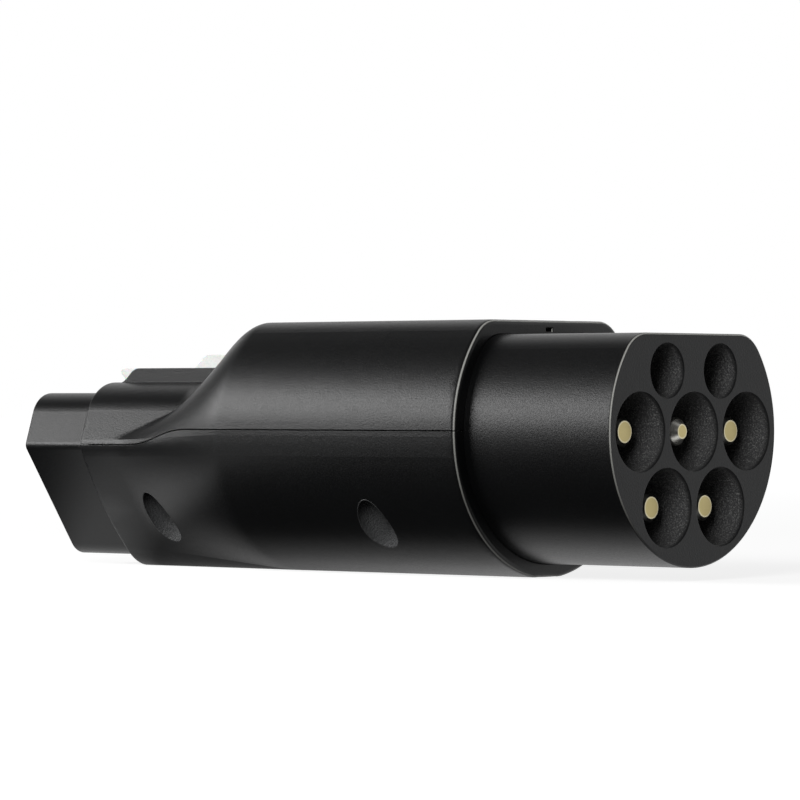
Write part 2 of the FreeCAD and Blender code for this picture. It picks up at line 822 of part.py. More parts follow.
def plug_form(start, length, distance=0.0):
    """Return a block of the plug's outline, moved outwards by a distance."""
    names = ("plug_corner_round", "plug_waist_round", "plug_foot_round")
    rounds = [max(number(name) + distance, 0.0) for name in names]
    face = Part.Face(rounded_wire(plug_corners(distance), rounds))
    return face.extrude(Vector(length, 0, 0)).translated(Vector(start, 0, 0))


def groove_form(start, width, inset):
    """Return the ring that a groove takes out of the plug, down to its outline moved inwards."""
    return plug_form(start, width, CUT_OVERRUN).cut(plug_form(start, width, -inset))


def make_plug_nose():
    """Build the shield-shaped insulator that goes into the vehicle's inlet."""
    block = plug_form(0.0, number(PLUG_BACK_X))
    edge = [e for e in block.Edges if lies_at(e, 0, 0.0)]
    block = block.makeFillet(number("plug_edge"), edge)
    clamp_end = "plug_length + plug_clamp_start + plug_clamp_width"
    for start, width, inset in (
        ("plug_length + seal_start", "seal_width", "seal_depth"),
        ("plug_length + plug_clamp_start", "plug_clamp_width", "plug_clamp_depth"),
        (clamp_end, f"{PLUG_BACK_X} - ({clamp_end})", "tail_ease + housing_wall - collar_wall"),
    ):
        block = block.cut(groove_form(number(start), number(width), number(inset)))
    skirt = plug_form(number(PLUG_FLOOR_X), number("plug_skirt"), -number("plug_skirt_inset"))
    block = block.cut(skirt)
    blank = doc.addObject("Part::Feature", "plug_blank")
    blank.Shape = block
    body = new_body("plug_nose", TIP_X)
    body.BaseFeature = blank
    doc.recompute()
    entries = new_sketch(body, "YZ_Plane", "entries")
    chambers = new_sketch(body, "YZ_Plane", "chambers", "plug_face_wall")
    for across, up, kind in SOCKETS.values():
        add_circle(entries, across, up, f"{kind}_bore + entry_clearance")
        add_circle(chambers, across, up, f"{socket_radius(kind)} + socket_clearance")
    sink_pocket(entries, "entry", "plug_face_wall", backwards=True)
    dress_edges(body, "Chamfer", "mouths", "entry_chamfer",
                lambda edge: edge.isClosed() and lies_at(edge, 0, 0))
    sink_pocket(chambers, "chamber", f"{PLUG_FLOOR_X} - plug_face_wall", backwards=True)
    screws = new_sketch(body, "YZ_Plane", "screws", PLUG_FLOOR_X)
    for across, up in PLUG_SCREWS:
        add_circle(screws, across, up, "small_screw_radius + pin_clearance")
    sink_pocket(screws, "screw_hole",
                "plug_screw_length - plug_plate_width - flange_width + screw_tip_room")
    return body


def make_socket(name, across, up, kind):
    """Turn one socket of the plug, and slit its mouth into four springy fingers."""
    body = new_body(name, TIP_X, across, f"axis_height + ({up})")
    barrel, lead = SOCKET_BARRELS[kind]
    mouth_x = "(plug_face_wall + socket_clearance)"
    flange_x = f"({PLUG_FLOOR_X} + flange_width)"
    end_x = f"({flange_x} + socket_barrel_length)"
    turn_body(body, "profile", [
        (mouth_x, f"{kind}_bore"),
        (mouth_x, socket_radius(kind)),
        (PLUG_FLOOR_X, socket_radius(kind)),
        (PLUG_FLOOR_X, f"{kind}_flange"),
        (flange_x, f"{kind}_flange"),
        (flange_x, barrel),
        (end_x, barrel),
        (end_x, f"{lead} + crimp_clearance"),
        (f"{end_x} - socket_crimp_depth", f"{lead} + crimp_clearance"),
        (f"{end_x} - socket_crimp_depth", "0"),
        (f"{mouth_x} + socket_bore_depth", "0"),
        (f"{mouth_x} + socket_bore_depth", f"{kind}_bore"),
    ])
    for plane in ("XY_Plane", "XZ_Plane"):
        slit = new_sketch(body, plane, f"slit_{plane[:2]}")
        add_rectangle(slit, f"{mouth_x} - 1", f"{mouth_x} + slit_length",
                      "-slit_width / 2", "slit_width / 2")
        pocket = sink_pocket(slit, f"slits_{plane[:2]}", f"4 * {socket_radius(kind)}")
        pocket.Midplane = True
        doc.recompute()
    return body


def make_socket_retainer():
    """Build the plate in the plug's skirt that presses on the socket flanges."""
    blank = doc.addObject("Part::Feature", "plate_blank")
    inset = number("plug_skirt_inset + retainer_clearance")
    blank.Shape = plug_form(0.0, number("plug_plate_width"), -inset)
    body = new_body("socket_retainer", f"{TIP_X} + {PLUG_FLOOR_X} + flange_width")
    body.BaseFeature = blank
    doc.recompute()
    holes = new_sketch(body, "YZ_Plane", "holes")
    for across, up, kind in SOCKETS.values():
        add_circle(holes, across, up, f"{SOCKET_BARRELS[kind][0]} + retainer_clearance")
    for across, up in PLUG_SCREWS:
        add_circle(holes, across, up, "small_screw_radius + retainer_clearance")
    sink_pocket(holes, "hole", "plug_plate_width", backwards=True)
    return body


def make_plug_seal():
    """Build the seal ring between the plug and the collar."""
    seal = doc.addObject("Part::Feature", "plug_seal")
    seal.Label = "plug_seal"
    width = number("seal_width - 2 * seal_clearance")
    outer = plug_form(0.0, width, number("bore_clearance - seal_clearance"))
    seal.Shape = outer.cut(plug_form(0.0, width, number("seal_clearance - seal_depth")))
    place(seal, f"{COLLAR_X} + seal_start + seal_clearance")
    return seal


# screws: each kind is turned once, and its copies share a node

# a pan head's crown and cross, as shares of the head's radius or height
CROWN_WIDTH = 0.7
CROWN_START = 0.4
CROSS_LENGTH = 0.6
CROSS_WIDTH = 0.12
CROSS_DEPTH = 0.55
# a screw's blunt point, as a share of its radius
POINT_WIDTH = 0.3


def make_screw(name, radius, head_radius, head_height, length):
    """Turn a pan-head screw that lies along X, its head's seat at the origin, and cut its cross."""
    body = new_body(name, "0", up="0")
    turn_body(body, "profile", [
        (f"-{head_height}", "0"),
        (f"-{head_height}", f"{head_radius} * {CROWN_WIDTH}"),
        (f"-{head_height} * {CROWN_START}", head_radius),
        ("0", head_radius),
        ("0", radius),
        (f"{length} - {radius}", radius),
        (length, f"{radius} * {POINT_WIDTH}"),
        (length, "0"),
    ])
    arm = f"{head_radius} * {CROSS_LENGTH}"
    half = f"{head_radius} * {CROSS_WIDTH}"
    for label, tall, wide in (("up", arm, half), ("across", half, arm)):
        cross = new_sketch(body, "YZ_Plane", f"cross_{label}", f"-{head_height}")
        add_rectangle(cross, f"-{wide}", wide, f"-{tall}", tall)
        sink_pocket(cross, f"{cross.Name}_cut", f"{head_height} * {CROSS_DEPTH}", backwards=True)
    return body


def fastener_group(name, screw, places, turn):
    """Return one node that holds a copy of a screw at each place, all turned the same way."""
    group = doc.addObject("Part::Feature", name)
    group.Label = name
    copies = []
    for along, across, up in places:
        copy = screw.Shape.copy()
        copy.Placement = FreeCAD.Placement(Vector(number(along), number(across), number(up)), turn)
        copies.append(copy)
    group.Shape = Part.makeCompound(copies)
    return group


def make_small_screws():
    """Build the screws of both contact plates."""
    small = ("small_screw_radius", "small_head_radius", "small_head_height")
    retainer = make_screw("retainer_screw", *small, "retainer_screw_length")
    seat_x = f"{FACE_X} - {NOSE_FLOOR_X} - flange_width - retainer_width"
    places = [(seat_x, y, f"axis_height + {z}") for y, z in retainer_screw_places()]
    groups = [fastener_group("retainer_screws", retainer, places, FreeCAD.Rotation())]
    plug = make_screw("plug_screw", *small, "plug_screw_length")
    seat_x = f"{TIP_X} + {PLUG_FLOOR_X} + flange_width + plug_plate_width"
    places = [(seat_x, y, f"axis_height + ({z})") for y, z in PLUG_SCREWS]
    half_turn = FreeCAD.Rotation(Vector(0, 0, 1), 180)
    groups.append(fastener_group("socket_retainer_screws", plug, places, half_turn))
    return groups


HOUSING_SCREWS = [
    (f"{RIM_X} - barrel_screw_start", "barrel_screw_pitch"),
    (f"{RIM_X} - barrel_screw_start", "-barrel_screw_pitch"),
    (f"{COLLAR_X} + collar_screw_start", "collar_screw_pitch"),
    (f"{COLLAR_X} + collar_screw_start", "-collar_screw_pitch"),
]


def make_housing_screws():
    """Build the four screws that pull the shells together from below."""
    screw = make_screw("housing_screw", "screw_radius", "screw_head_radius",
                       "screw_head_height", "screw_length")
    places = [(x, y, "axis_height - screw_seat") for x, y in HOUSING_SCREWS]
    upright = FreeCAD.Rotation(Vector(0, 1, 0), -90)
    return fastener_group("housing_screws", screw, places, upright)


# the housing

CHANNEL_HALF_WIDTH = "(latch_half_width + latch_side_clearance)"
WELL_START_X = f"({PIVOT_X} - latch_well_front)"
WELL_LENGTH = "(latch_well_front + latch_well_back)"
NOSE_BULKHEAD = "(clamp_start + clamp_width - clamp_clearance)"
PLUG_BULKHEAD = "(plug_clamp_start + plug_clamp_width - clamp_clearance)"


def parting_band(low, high):
    """Return the band that follows the stepped parting, between two heights over it."""
    start = number(COLLAR_X) - 1
    end = number(RIM_X) + 1
    step = number(f"{COLLAR_X} + step_start")
    step_end = step + number("step_length")
    level = number("axis_height")
    dip = number("seam_low")

    def line(height):
        lower = level + height - dip
        upper = level + height
        middle = (step + step_end) / 2
        rise = Part.BezierCurve()
        rise.setPoles([Vector(step, 0, lower), Vector(middle, 0, lower),
                       Vector(middle, 0, upper), Vector(step_end, 0, upper)])
        return [
            Part.LineSegment(Vector(start, 0, lower), Vector(step, 0, lower)).toShape(),
            rise.toShape(),
            Part.LineSegment(Vector(step_end, 0, upper), Vector(end, 0, upper)).toShape(),
        ]

    bottom, top = line(low), line(high)
    sides = [
        Part.LineSegment(Vector(x, 0, level + low - drop), Vector(x, 0, level + high - drop)).toShape()
        for x, drop in ((start, dip), (end, 0.0))
    ]
    face = Part.Face(Part.Wire(Part.__sortEdges__(bottom + top + sides)))
    width = 4 * number(BARREL_RADIUS)
    return face.translated(Vector(0, -width / 2, 0)).extrude(Vector(0, width, 0))


def flat_circle_form(start, length, radius, flat, corner=0.0):
    """Return a block with the nose's outline, its size given in millimetres."""
    half = math.sqrt(radius ** 2 - flat ** 2)
    ends = [(half, flat), (half, flat)]
    if corner:
        across = math.sqrt((radius - corner) ** 2 - (flat - corner) ** 2)
        share = radius / (radius - corner)
        ends = [(across, flat), (across * share, (flat - corner) * share)]
    (top_y, top_z), (side_y, side_z) = ends
    foot = Vector(0, 0, -radius)
    edges = [
        Part.Arc(Vector(0, side_y, side_z), foot, Vector(0, -side_y, side_z)).toShape(),
        Part.LineSegment(Vector(0, -top_y, top_z), Vector(0, top_y, top_z)).toShape(),
    ]
    if corner:
        lift = math.atan2(flat - corner, top_y)
        middle = (lift + math.pi / 2) / 2
        mid_y = top_y + corner * math.cos(middle)
        mid_z = flat - corner + corner * math.sin(middle)
        for side in (1, -1):
            edges.append(Part.Arc(Vector(0, side * top_y, top_z), Vector(0, side * mid_y, mid_z),
                                  Vector(0, side * side_y, side_z)).toShape())
    face = Part.Face(Part.Wire(Part.__sortEdges__(edges)))
    return face.extrude(Vector(length, 0, 0)).translated(Vector(start, 0, number("axis_height")))


def upright_cylinder(along, across, radius, low, high):
    """Return a vertical cylinder between two heights over the barrel axis."""
    foot = Vector(number(along), number(across), number("axis_height") + low)
    return Part.makeCylinder(number(radius), high - low, foot)


def box_between(low, high):
    """Return a box between two corners."""
    return Part.makeBox(*(b - a for a, b in zip(low, high)), Vector(*low))


def make_cheeks():
    """Return the two raised cheeks that the latch lies between."""
    start = number(f"{COLLAR_X} + cheek_start")
    crest = start + number("cheek_ramp")
    end = start + number("cheek_length")
    collar_top = number(f"axis_height + {PLUG_TOP_Z} + bore_clearance + collar_wall")
    top = collar_top + number("cheek_rise")
    base = collar_top - number("cheek_embed")
    middle = (start + crest) / 2
    ramp = Part.BezierCurve()
    foot = collar_top - number("ramp_sink")
    ramp.setPoles([Vector(start, 0, foot), Vector(middle, 0, foot),
                   Vector(middle, 0, top), Vector(crest, 0, top)])
    spots = [Vector(crest, 0, top), Vector(end, 0, top), Vector(end, 0, base),
             Vector(start, 0, base), Vector(start, 0, foot)]
    edges = [ramp.toShape()]
    edges += [Part.LineSegment(a, b).toShape() for a, b in zip(spots, spots[1:])]
    face = Part.Face(Part.Wire(edges))
    inner = number(CHANNEL_HALF_WIDTH)
    outer = number("cheek_half_width")
    return [
        face.translated(Vector(0, low, 0)).extrude(Vector(0, high - low, 0))
        for low, high in ((inner, outer), (-outer, -inner))
    ]


def make_shells():
    """Mould the housing's two shells: walls, bulkheads, bosses, lip, latch well and openings."""
    collar_x, rim_x = number(COLLAR_X), number(RIM_X)
    level, wall = number("axis_height"), number("housing_wall")
    bulkhead, plug_bulkhead = number(NOSE_BULKHEAD), number(PLUG_BULKHEAD)
    ease = number("clamp_clearance")
    outside = housing_form(collar_x, rim_x, 0.0, number("collar_round"), number("rim_round"))
    cavity = housing_form(collar_x + plug_bulkhead, rim_x - bulkhead, wall)
    cheeks = [cheek.cut(cavity) for cheek in make_cheeks()]

    seat = -number("screw_seat")
    depth = 2 * level
    bosses, recesses, shanks, threads = [], [], [], []
    for along, across in HOUSING_SCREWS:
        post = upright_cylinder(along, across, "boss_radius", -depth, depth)
        socket = upright_cylinder(along, across, "recess_radius + recess_wall", -depth, seat + wall)
        bosses.append(post.fuse(socket).common(outside))
        recesses.append(upright_cylinder(along, across, "recess_radius", -depth, seat))
        shanks.append(upright_cylinder(along, across, "screw_radius + retainer_clearance", seat, depth))
        threads.append(upright_cylinder(along, across, "screw_radius + pin_clearance", -depth,
                                        number("screw_length + screw_tip_room") + seat))

    well_x = number(WELL_START_X)
    well_end = well_x + number(WELL_LENGTH)
    channel = number(CHANNEL_HALF_WIDTH)
    skin = number("latch_well_wall")
    well_floor = number(f"{PIVOT_Z} - latch_well_depth")
    well_box = box_between((well_x - skin, -channel - skin, well_floor - skin),
                           (well_end + skin, channel + skin, 2 * level))
    well_box = well_box.common(outside)
    well = box_between((well_x, -channel, well_floor), (well_end, channel, 2 * level))
    post = Part.makeCylinder(number("spring_post"), number("post_height"),
                             Vector(number(f"{PIVOT_X} + spring_reach"), 0, well_floor))
    pivot_hole = Part.makeCylinder(
        number("pivot_radius + pivot_clearance / 2"),
        channel + number("pivot_end + cheek_half_width"),
        Vector(number(PIVOT_X), -channel - number("pivot_end"), number(PIVOT_Z)), Vector(0, 1, 0))

    bore = number("bore_clearance")
    nose_bore = flat_circle_form(
        rim_x - number("clamp_start") - ease, number("clamp_start") + ease + 1,
        number("nose_radius") + bore, number("nose_flat") + bore, number("nose_corner"))
    nose_neck = flat_circle_form(
        rim_x - bulkhead - 1, bulkhead + 1, number("nose_radius - clamp_depth") + ease,
        number("nose_flat - clamp_depth") + ease)
    plug_bore = plug_form(collar_x - 1, number("plug_clamp_start") + ease + 1, bore)
    plug_neck = plug_form(collar_x, plug_bulkhead + 1, ease - number("plug_clamp_depth"))
    lift = Vector(0, 0, level)
    openings = [nose_bore, nose_neck, plug_bore.translated(lift), plug_neck.translated(lift)]

    notch_low = level + number("nose_flat + notch_rise")
    half_notch = number("notch_width") / 2
    notch = box_between((rim_x - number("notch_depth"), -half_notch, notch_low),
                        (rim_x + 1, half_notch, notch_low + number("notch_height")))

    gap = number("seam_gap")
    below = parting_band(-2 * depth, 0.0)
    above = parting_band(gap, 2 * depth)

    lip_wall, slack = number("lip_width"), number("lip_clearance")
    tongue_form = housing_form(collar_x + plug_bulkhead, rim_x - bulkhead, wall - lip_wall)
    tongue = tongue_form.cut(cavity).common(parting_band(-1.0, number("lip_height")))
    rebate_floor = housing_form(collar_x + plug_bulkhead, rim_x - bulkhead, wall + slack)
    rebate_form = housing_form(collar_x + plug_bulkhead - slack, rim_x - bulkhead + slack,
                               wall - lip_wall - slack)
    rebate_band = parting_band(0.0, number("lip_height") + gap + slack)
    rebate = rebate_form.cut(rebate_floor).common(rebate_band)

    lower = outside.common(below).cut(cavity)
    for piece in [boss.common(below) for boss in bosses] + [tongue]:
        lower = lower.fuse(piece)
    for cutter in openings + recesses + shanks:
        lower = lower.cut(cutter)
    upper = outside.common(above).cut(cavity)
    for piece in cheeks + [boss.common(above) for boss in bosses] + [well_box]:
        upper = upper.fuse(piece)
    upper = upper.cut(rebate).cut(well).fuse(post)
    for cutter in openings + threads + [notch, pivot_hole]:
        upper = upper.cut(cutter)
    shells = []
    for name, shape in (("upper_housing", upper), ("lower_housing", lower)):
        shell = doc.addObject("Part::Feature", name)
        shell.Label = name
        shell.Shape = shape
        shells.append(shell)
    return shells


# the latch on the collar


def make_latch_lever():
    """Build the rocker: a bar with a hook at its front, a raised thumb pad and a hub."""
    body = new_body("latch_lever", PIVOT_X, up=PIVOT_Z)
    width = "2 * latch_half_width"
    hook_x = "hook_ramp - hook_reach"
    hook_low = "-(bar_bottom + hook_depth)"
    side = new_sketch(body, "XZ_Plane", "side")
    add_polygon(side, [
        ("-hook_reach", "bar_top"),
        ("-hook_reach", "bar_top - hook_nose"),
        (hook_x, hook_low),
        (f"{hook_x} + hook_foot", hook_low),
        (f"{hook_x} + hook_foot", "-bar_bottom"),
        ("pad_reach", "-bar_bottom"),
        ("pad_reach", "pad_rise"),
        ("pad_start + pad_ramp", "pad_rise"),
        ("pad_start", "bar_top"),
    ])
    raise_pad(side, "bar", width).Midplane = True
    hub = new_sketch(body, "XZ_Plane", "hub")
    add_circle(hub, "0", "0", "hub_radius")
    raise_pad(hub, "barrel", width).Midplane = True
    post = new_sketch(body, "XY_Plane", "post", "-bar_bottom")
    add_circle(post, "spring_reach", "0", "spring_post")
    raise_pad(post, "peg", "post_height", backwards=True)
    rise = number("pad_rise")
    for name, size, along in (
        ("front_round", "pad_round", number("pad_start + pad_ramp")),
        ("end_round", "pad_end_round", number("pad_reach")),
    ):
        dress_edges(body, "Fillet", name, size, lambda edge: (
            runs_along(edge, 1) and lies_at(edge, 0, along) and lies_at(edge, 2, rise)))
    for name, along in (("dip_round", "pad_start"), ("tip_round", "-hook_reach")):
        dress_edges(body, "Fillet", name, "bar_edge", lambda edge: (
            runs_along(edge, 1) and lies_at(edge, 0, number(along))
            and lies_at(edge, 2, number("bar_top"))))
    bore = new_sketch(body, "XZ_Plane", "bore")
    add_circle(bore, "0", "0", "pivot_radius + pivot_clearance")
    sink_pocket(bore, "bore_cut", f"{width} + {CUT_OVERRUN}").Midplane = True
    doc.recompute()
    return body


def make_latch_pivot_pin():
    """Build the pin that the lever turns on, driven in through the far cheek."""
    slack = "retainer_clearance / 2"
    near_end = f"{CHANNEL_HALF_WIDTH} + pivot_end - {slack}"
    body = new_body("latch_pivot_pin", PIVOT_X, f"-({near_end})", PIVOT_Z)
    section = new_sketch(body, "XZ_Plane", "section")
    add_circle(section, "0", "0", "pivot_radius")
    raise_pad(section, "rod", f"{near_end} + cheek_half_width - {slack}", backwards=True)
    dress_edges(body, "Chamfer", "ends", "pivot_radius / 5",
                lambda edge: edge.Curve.TypeId == "Part::GeomCircle")
    return body


def make_latch_spring():
    """Coil the spring that stands in the well and pushes the thumb pad up."""
    wire = number("spring_wire")
    height = number("latch_well_depth - bar_bottom") - 2 * wire
    coil = Part.makeHelix(height / number("spring_turns"), height, number("spring_radius"))
    start = Vector(number("spring_radius"), 0, 0)
    section = Part.Wire(Part.makeCircle(wire, start, Vector(0, 1, 0)))
    spring = doc.addObject("Part::Feature", "latch_spring")
    spring.Label = "latch_spring"
    spring.Shape = Part.Wire(coil.Edges).makePipeShell([section], True, True)
    place(spring, f"{PIVOT_X} + spring_reach", up=f"{PIVOT_Z} - latch_well_depth + spring_wire")
    return spring


# the leads between the two rows of contacts

PIN_END_X = f"({FACE_X} - {NOSE_FLOOR_X} - flange_width - barrel_length)"
SOCKET_END_X = f"({TIP_X} + {PLUG_FLOOR_X} + flange_width + socket_barrel_length)"
LEAD_START_X = f"({PIN_END_X} + crimp_depth * 0.9)"
LEAD_END_X = f"({SOCKET_END_X} - socket_crimp_depth * 0.96)"


SIGNAL_CREST = (f"{PIN_END_X} - signal_crest_run", "signal_across", "signal_crest")
SIGNAL_FOOT = (f"{SOCKET_END_X} + signal_foot_run", "signal_across", "-signal_foot")
POWER_DETOUR = (f"{SOCKET_END_X} + power_detour", "power_detour_across", "-power_detour_drop")
LEADS = {
    "live_lead": ("live_1_pin", "live_socket", "lead_radius", "power", [POWER_DETOUR]),
    "neutral_lead": ("neutral_pin", "neutral_socket", "lead_radius", "power", [POWER_DETOUR]),
    "earth_lead": ("earth_pin", "earth_socket", "lead_radius", "middle", []),
    "pilot_lead": ("control_pilot_pin", "pilot_socket", "signal_lead_radius", "middle",
                   [SIGNAL_CREST, SIGNAL_FOOT]),
    "proximity_lead": ("proximity_pin", "proximity_socket", "signal_lead_radius", "middle",
                       [SIGNAL_CREST, SIGNAL_FOOT]),
}


def lead_spot(along, across, up, side):
    """Return a point of a lead's route, on the side that the lead runs on."""
    return Vector(number(along), side * abs(number(across)), number(up))


def lead_route(pin, socket, kind, bends):
    """Return the corner points of a lead from its pin to its socket, by way of its bends."""
    pin_y, pin_z = {**POWER_WELLS, **SIGNAL_WELLS}[pin]
    socket_y, socket_z, _ = SOCKETS[socket]
    side = -1 if pin_y.startswith("-") else 1
    spots = [
        (LEAD_START_X, pin_y, pin_z),
        (f"{PIN_END_X} - {kind}_straight", pin_y, pin_z),
        *bends,
        (f"{SOCKET_END_X} + {kind}_join", socket_y, socket_z),
        (LEAD_END_X, socket_y, socket_z),
    ]
    return [lead_spot(*spot, side) for spot in spots]


# a bend takes up this share of the shorter run beside it
BEND_SHARE = 0.45


def lead_form(route, radius):
    """Return a tube along a route whose corners are turned by arcs that touch both runs."""
    edges = []
    here = route[0]
    for before, corner, after in zip(route, route[1:], route[2:]):
        way_in = (corner - before).normalize()
        way_out = (after - corner).normalize()
        half_turn = way_in.getAngle(way_out) / 2
        reach = BEND_SHARE * min(corner.distanceToPoint(before), corner.distanceToPoint(after))
        start = corner - way_in * reach
        end = corner + way_out * reach
        bow = reach / math.tan(half_turn) * (1 / math.cos(half_turn) - 1)
        middle = corner + (way_out - way_in).normalize() * bow
        edges.append(Part.LineSegment(here, start).toShape())
        edges.append(Part.Arc(start, middle, end).toShape())
        here = end
    edges.append(Part.LineSegment(here, route[-1]).toShape())
    section = Part.Wire(Part.makeCircle(radius, route[0], route[1] - route[0]))
    return Part.Wire(edges).makePipeShell([section], True, True)


def make_lead(name):
    """Run one lead from a pin of the nose to a socket of the plug."""
    pin, socket, radius, kind, bends = LEADS[name]
    lead = doc.addObject("Part::Feature", name)
    lead.Label = name
    lead.Shape = lead_form(lead_route(pin, socket, kind, bends), number(radius))
    place(lead, "0")
    return lead


def make_coding_resistor():
    """Build the moulded resistor sleeve on the steep run of the proximity lead."""
    start, end = (lead_spot(*spot, -1) for spot in (SIGNAL_CREST, SIGNAL_FOOT))
    way = (end - start).normalize()
    length = number("resistor_length")
    foot = (start + end) / 2 - way * (length / 2)
    sleeve = Part.makeCylinder(number("resistor_radius"), length, foot, way)
    bore = Part.makeCylinder(number("signal_lead_radius + crimp_clearance"), length, foot, way)
    resistor = doc.addObject("Part::Feature", "coding_resistor")
    resistor.Label = "coding_resistor"
    resistor.Shape = sleeve.cut(bore)
    place(resistor, "0")
    return resistor


def make_nodes():
    """Build every piece of the adapter, and return the objects that are handed on."""
    return [
        make_type2_nose(),
        *make_pins(),
        make_pin_retainer(),
        make_nose_seal(),
        make_plug_nose(),
        *(make_socket(name, *where) for name, where in SOCKETS.items()),
        make_socket_retainer(),
        make_plug_seal(),
        *make_small_screws(),
        make_housing_screws(),
        *make_shells(),
        make_latch_lever(),
        make_latch_pivot_pin(),
        make_latch_spring(),
        *(make_lead(name) for name in LEADS),
        make_coding_resistor(),
    ]


def check_and_export(nodes):
    """Write each piece as STEP once nothing in the document is broken."""
    doc.recompute()
    for item in doc.Objects:
        if {"Invalid", "Error"} & set(item.State):
            raise RuntimeError(f"{item.Name}: {item.State}")
    for node in nodes:
        if node.Shape.isNull() or not node.Shape.isValid() or not node.Shape.Solids:
            raise RuntimeError(f"{node.Label} has no valid solid")
    os.makedirs("parts", exist_ok=True)
    for node in nodes:
        node.Shape.exportStep(f"parts/{node.Label}.step")


check_and_export(make_nodes())
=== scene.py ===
"""The looks of an EV charging adapter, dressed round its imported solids.

Metres, in the frame of the solids: X runs towards the Type 2 face, Y across to the far side, Z up,
with the origin under the adapter's middle on the surface that it stands on.
"""

import logging
from dataclasses import dataclass
from enum import Enum

import bpy
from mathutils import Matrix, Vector


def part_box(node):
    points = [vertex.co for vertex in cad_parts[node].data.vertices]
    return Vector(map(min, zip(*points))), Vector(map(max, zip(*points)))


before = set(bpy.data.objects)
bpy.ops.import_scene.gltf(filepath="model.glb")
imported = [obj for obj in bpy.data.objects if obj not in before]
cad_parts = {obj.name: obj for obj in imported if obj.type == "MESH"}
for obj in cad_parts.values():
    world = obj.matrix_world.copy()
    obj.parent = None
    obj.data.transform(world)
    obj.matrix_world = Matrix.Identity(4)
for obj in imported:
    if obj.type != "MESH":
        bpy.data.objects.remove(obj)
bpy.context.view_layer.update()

MM = 0.001
LOG = logging.getLogger("adapter")

NOISE_RANGE = (0.3, 0.7)
STRIPE_CORE = 0.3
BEVEL_SAMPLES = 6

Color = tuple[float, float, float, float]
Range = tuple[float, float]
Socket = bpy.types.NodeSocket


def grey(level: float) -> Color:
    """Return an even grey."""
    return (level, level, level, 1.0)


class LeadColor(Enum):
    """Insulation colours of the leads."""

    BROWN = (0.16, 0.055, 0.022, 1.0)
    BLUE = (0.02, 0.09, 0.42, 1.0)
    GREEN = (0.04, 0.25, 0.03, 1.0)
    GREY = grey(0.3)


